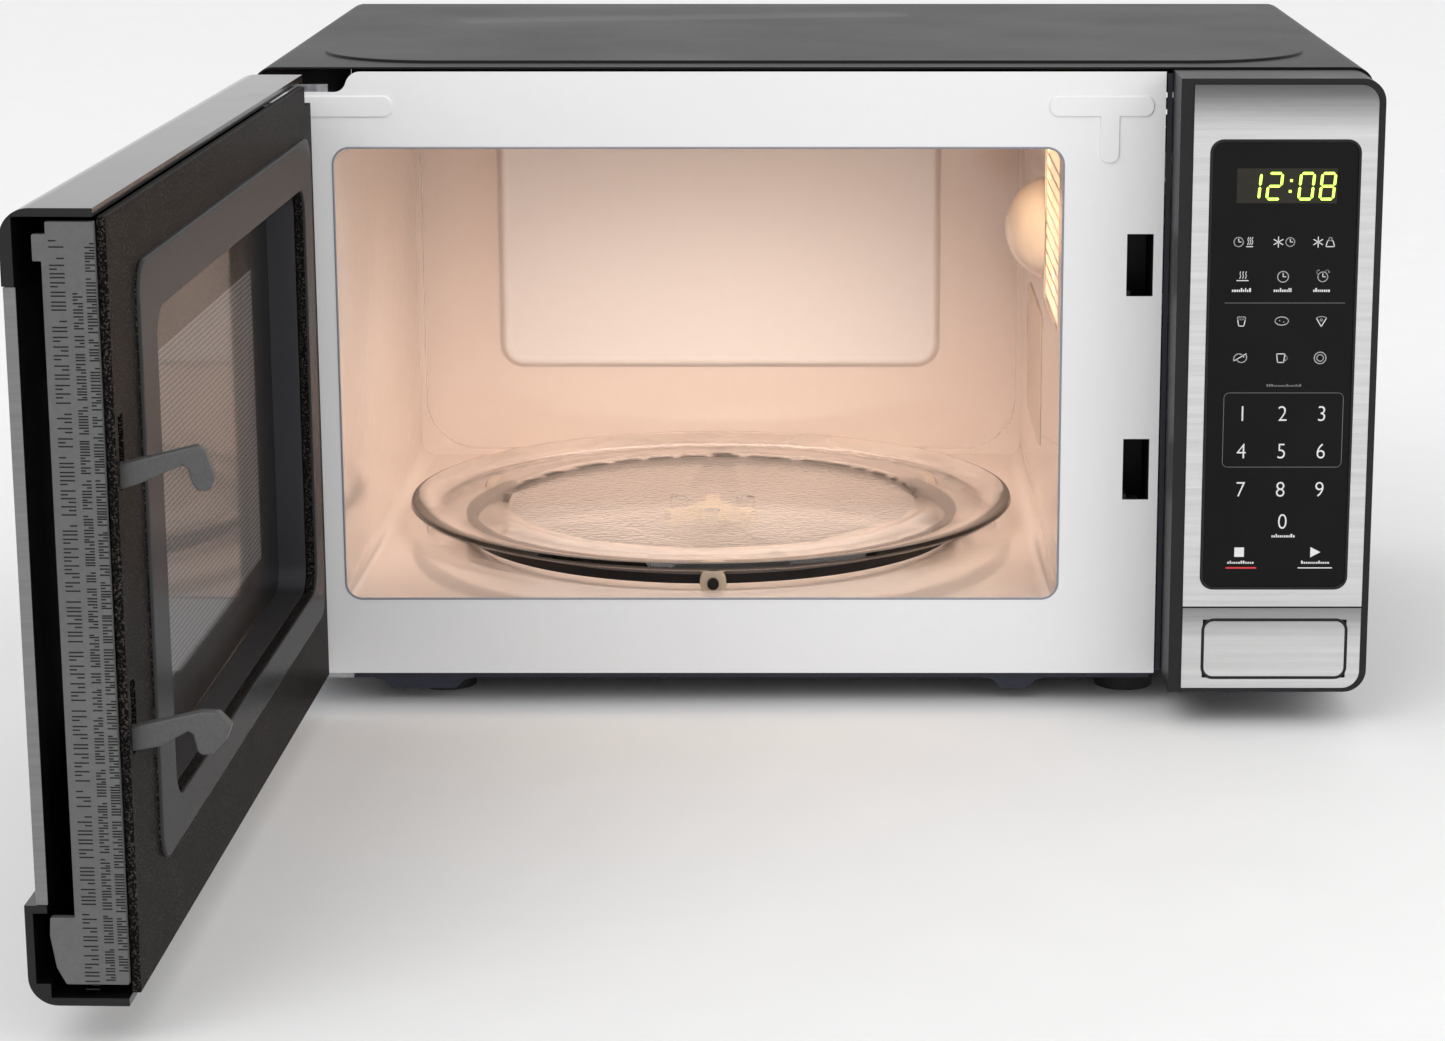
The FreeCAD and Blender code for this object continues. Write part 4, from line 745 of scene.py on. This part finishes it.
def addBead(name, edge, radius, width, rise, frontY, material, slot):
    x0, x1, z0, z1 = edge
    profile = ((1.0, 0.0), (0.88, 0.7), (0.5, 1.0), (0.12, 0.7), (0.0, 0.0))
    verts, faces, loops = [], [], []
    for share, height in profile:
        grow = width * share
        outline = roundedRect(x0 - grow, x1 + grow, z0 - grow, z1 + grow, radius + grow)
        loops.append(len(verts))
        verts += [(a / 1000, (frontY - rise * height) / 1000, b / 1000) for a, b in outline]
    count = len(outline)
    for first, second in zip(loops, loops[1:] + loops[:1]):
        for i in range(count):
            j = (i + 1) % count
            faces.append((first + j, first + i, second + i, second + j))
    return addPiece(name, verts, faces, material, "casing", smooth=True)


beads = {
    # edges left, right, low, high; corner, width, rise, the face it lies on
    "keypadRim": ((154.0, 209.9, 58.3, 234.5), 4.0, 1.3, 0.45, -158.45, "glossBlack",
                  "gloss_black"),
    "buttonRim": ((155.2, 210.8, 21.5, 44.0), 3.6, 1.3, 0.35, -158.45, "glossBlack",
                  "gloss_black"),
    # the bead along the cavity opening is coloured grey as painted shade for the dark outline at the
    # opening's edge
    "openingRim": ((-189.3, 98.3, 45.2, 227.8), 6.3, 0.9, 0.3, -125.45, "rimGrey",
                   "plate_white"),
}
for name, values in beads.items():
    addBead(name, *values)
print("panel rims fitted")


gapShade = {"across": (139.0, 141.0), "depth": (-126.2, -125.0), "up": (15.5, 257.6)}


def addGapShade():
    # dark strip of painted shade that closes the gap between the front plate and the control panel
    verts, faces = [], []
    slab(verts, faces, bar(gapShade["across"][0], gapShade["up"][0], gapShade["across"][1],
                           gapShade["up"][1]),
         lambda a, b, d: (a / 1000, d / 1000, b / 1000), *gapShade["depth"])
    addPiece("panelGapShade", verts, faces, "gapShadeBlack", "casing")


addGapShade()

baseLip = {"high": 13.4, "low": 9.8, "foot": 5.2, "y": (-119.0, -118.0), "left": -200.0,
           "right": 137.0, "bulges": ((-181.0, -139.0), (69.0, 95.0))}


def addBaseLip():
    # the base pan's front edge, with a bulge in front of each foot
    outline = [(baseLip["left"], baseLip["low"])]
    for start, end in baseLip["bulges"]:
        outline += [(start, baseLip["low"]), (start + 4, baseLip["low"] - 0.8),
                    (start + 8, baseLip["foot"]), (end - 8, baseLip["foot"]),
                    (end - 4, baseLip["low"] - 0.8), (end, baseLip["low"])]
    outline += [(baseLip["right"], baseLip["low"]), (baseLip["right"], baseLip["high"]),
                (baseLip["left"], baseLip["high"])]
    verts, faces = [], []
    slab(verts, faces, outline, lambda a, b, d: (a / 1000, d / 1000, b / 1000), *baseLip["y"])
    addPiece("baseLip", verts, faces, "panBlue", "casing")


addBaseLip()


cavityPress = {"left": -151.0, "right": 59.5, "low": 87.0, "high": 206.0, "corner": 9.0,
               "backY": 155.4, "rise": 3.4}


def pressedPanel():
    c = cavityPress
    steps = ((0.0, 0.0), (0.6, 0.18), (1.5, 0.62), (2.4, 0.93), (3.2, 1.0), (4.4, 1.0),
             (5.4, 0.92), (6.4, 0.88))
    verts, faces = [], []
    loops = []
    for inset, rise in steps:
        outline = roundedRect(c["left"] + inset, c["right"] - inset, c["low"] + inset,
                              c["high"] - inset, c["corner"] + 2 - inset * 0.6)
        loops.append(len(verts))
        verts += [(a / 1000, (c["backY"] - c["rise"] * rise) / 1000, b / 1000) for a, b in outline]
    count = len(outline)
    for first, second in zip(loops, loops[1:]):
        for i in range(count):
            j = (i + 1) % count
            faces.append((first + j, first + i, second + i, second + j))
    faces.append(tuple(loops[-1] + i for i in reversed(range(count))))
    # the pressed panel wears the paler enamel, a painted reflection of the white light from the front
    addPiece("backPressing", verts, faces, "enamelPaintedReflection", "casing", smooth=True)


pressedPanel()

lampWindow = {"y": (-103.5, -12.5), "z": (149.0, 223.0), "x": (99.9, 100.4)}


def addLampPane():
    # glowing sheet behind the lamp grille
    verts, faces = [], []
    slab(verts, faces, bar(lampWindow["y"][0], lampWindow["z"][0], lampWindow["y"][1],
                           lampWindow["z"][1]),
         lambda a, b, d: (d / 1000, a / 1000, b / 1000), *lampWindow["x"])
    addPiece("lampPane", verts, faces, "lampGlow", "casing")


addLampPane()

wallMarks = {"x": (98.35, 98.5), "marks": ((101.0, 112.0, 127.0), (91.0, 104.5, 107.5),
                                          (90.0, 87.5, 101.0)), "wide": 0.7}


def addWallMarks():
    # black marks for the slits along the edge of the wave guide's cover: painted shade inside the
    # openings
    verts, faces = [], []
    for y, low, high in wallMarks["marks"]:
        slab(verts, faces, bar(y, low, y + wallMarks["wide"], high),
             lambda a, b, d: (d / 1000, a / 1000, b / 1000), wallMarks["x"][1], wallMarks["x"][0])
    addPiece("wallSlitShade", verts, faces, "inkAndSlitShade", "casing")


addWallMarks()
print("cavity fitted")


doorPrint = {"columns": ((5.6, 4.4, 12), (11.2, 2.9, 13), (15.3, 2.9, 14)), "low": 20.0,
             "high": 248.0, "endX": 354.2, "thick": 0.42}


def printedStrip():
    # rows of small strokes stand for the lines of print
    verts, faces = [], []
    width = doorPrint["thick"]
    for centre, height, seed in doorPrint["columns"]:
        dice = random.Random(seed)
        z = doorPrint["low"] + (seed - 12) * 3
        high = doorPrint["high"] - (14 if seed == 13 else 0)
        left, right = centre - height / 2, centre + height / 2
        while z < high:
            for _ in range(dice.randint(2, 9)):
                tall = height * (0.36 + 0.2 * dice.random())
                ends = dice.choice(((left, right), (left, centre), (centre, right)))
                shapes = [bar(left, z, right, z + width),
                          bar(ends[0], z + tall - width, ends[1], z + tall)]
                for shape in shapes:
                    slab(verts, faces, shape, lambda a, b, d: (d / 1000, a / 1000, b / 1000),
                         doorPrint["endX"] + 0.03, doorPrint["endX"])
                z += tall + height * 0.16
                if z > high:
                    break
            z += height * 0.5
    addPiece("stripPrint", verts, faces, "inkAndSlitShade", "door", matrix=doorMatrix)


printedStrip()
print("door printed")


def addFloor():
    mesh = bpy.data.meshes.new("floor")
    mesh.from_pydata([(-9, -9, 0), (9, -9, 0), (9, 9, 0), (-9, 9, 0)], [], [(0, 1, 2, 3)])
    mesh.materials.append(look["floorPale"])
    obj = bpy.data.objects.new("floor", mesh)
    scene.collection.objects.link(obj)


def addArea(name, place, target, width, height, watts, color, spread):
    light = bpy.data.lights.new(name, "AREA")
    light.shape = "RECTANGLE"
    light.size, light.size_y = width, height
    light.energy = watts
    light.color = color
    light.spread = math.radians(spread)
    obj = bpy.data.objects.new(name, light)
    obj.location = place
    obj.rotation_euler = (Vector(target) - Vector(place)).to_track_quat("-Z", "Y").to_euler()
    scene.collection.objects.link(obj)


studio = {
    "sky": 0.95,
    "lights": (  # name, place, target, width, height, watts, colour, spread in degrees
        ("keyLight", (-1.6, -2.6, 2.6), (0, 0, 0.1), 2.2, 1.6, 26, (1, 1, 1), 180),
        ("fillLight", (2.4, -2.2, 1.8), (0, 0, 0.15), 1.8, 1.8, 14, (1, 1, 1), 180),
        ("ovenLamp", (0.096, -0.058, 0.186), (-0.12, 0.02, 0.12), 0.08, 0.065, 0.1,
         (1.0, 0.74, 0.42), 180),
        ("ovenGlow", (-0.045, 0.0, 0.224), (-0.06, 0.09, 0.06), 0.2, 0.2, 0.46,
         (1.0, 0.84, 0.72), 110),
    ),
}
viewpoint = {"place": (0.00445, -1.5155, 0.4052), "tilt": 76.73, "sensor": 36, "lens": 88.1,
             "shift": -0.0709}

addFloor()
world = bpy.data.worlds.new("studio")
world.use_nodes = True
background = world.node_tree.nodes["Background"]
background.inputs["Color"].default_value = (1, 1, 1, 1)
background.inputs["Strength"].default_value = studio["sky"]
scene.world = world
scene.view_settings.view_transform = "Standard"
for values in studio["lights"]:
    addArea(*values)

camera = bpy.data.cameras.new("camera")
camera.sensor_width = viewpoint["sensor"]
camera.lens = viewpoint["lens"]
camera.shift_x = viewpoint["shift"]
cameraObject = bpy.data.objects.new("camera", camera)
cameraObject.location = viewpoint["place"]
cameraObject.rotation_euler = (math.radians(viewpoint["tilt"]), 0, 0)
scene.collection.objects.link(cameraObject)
scene.camera = cameraObject
print("studio ready")
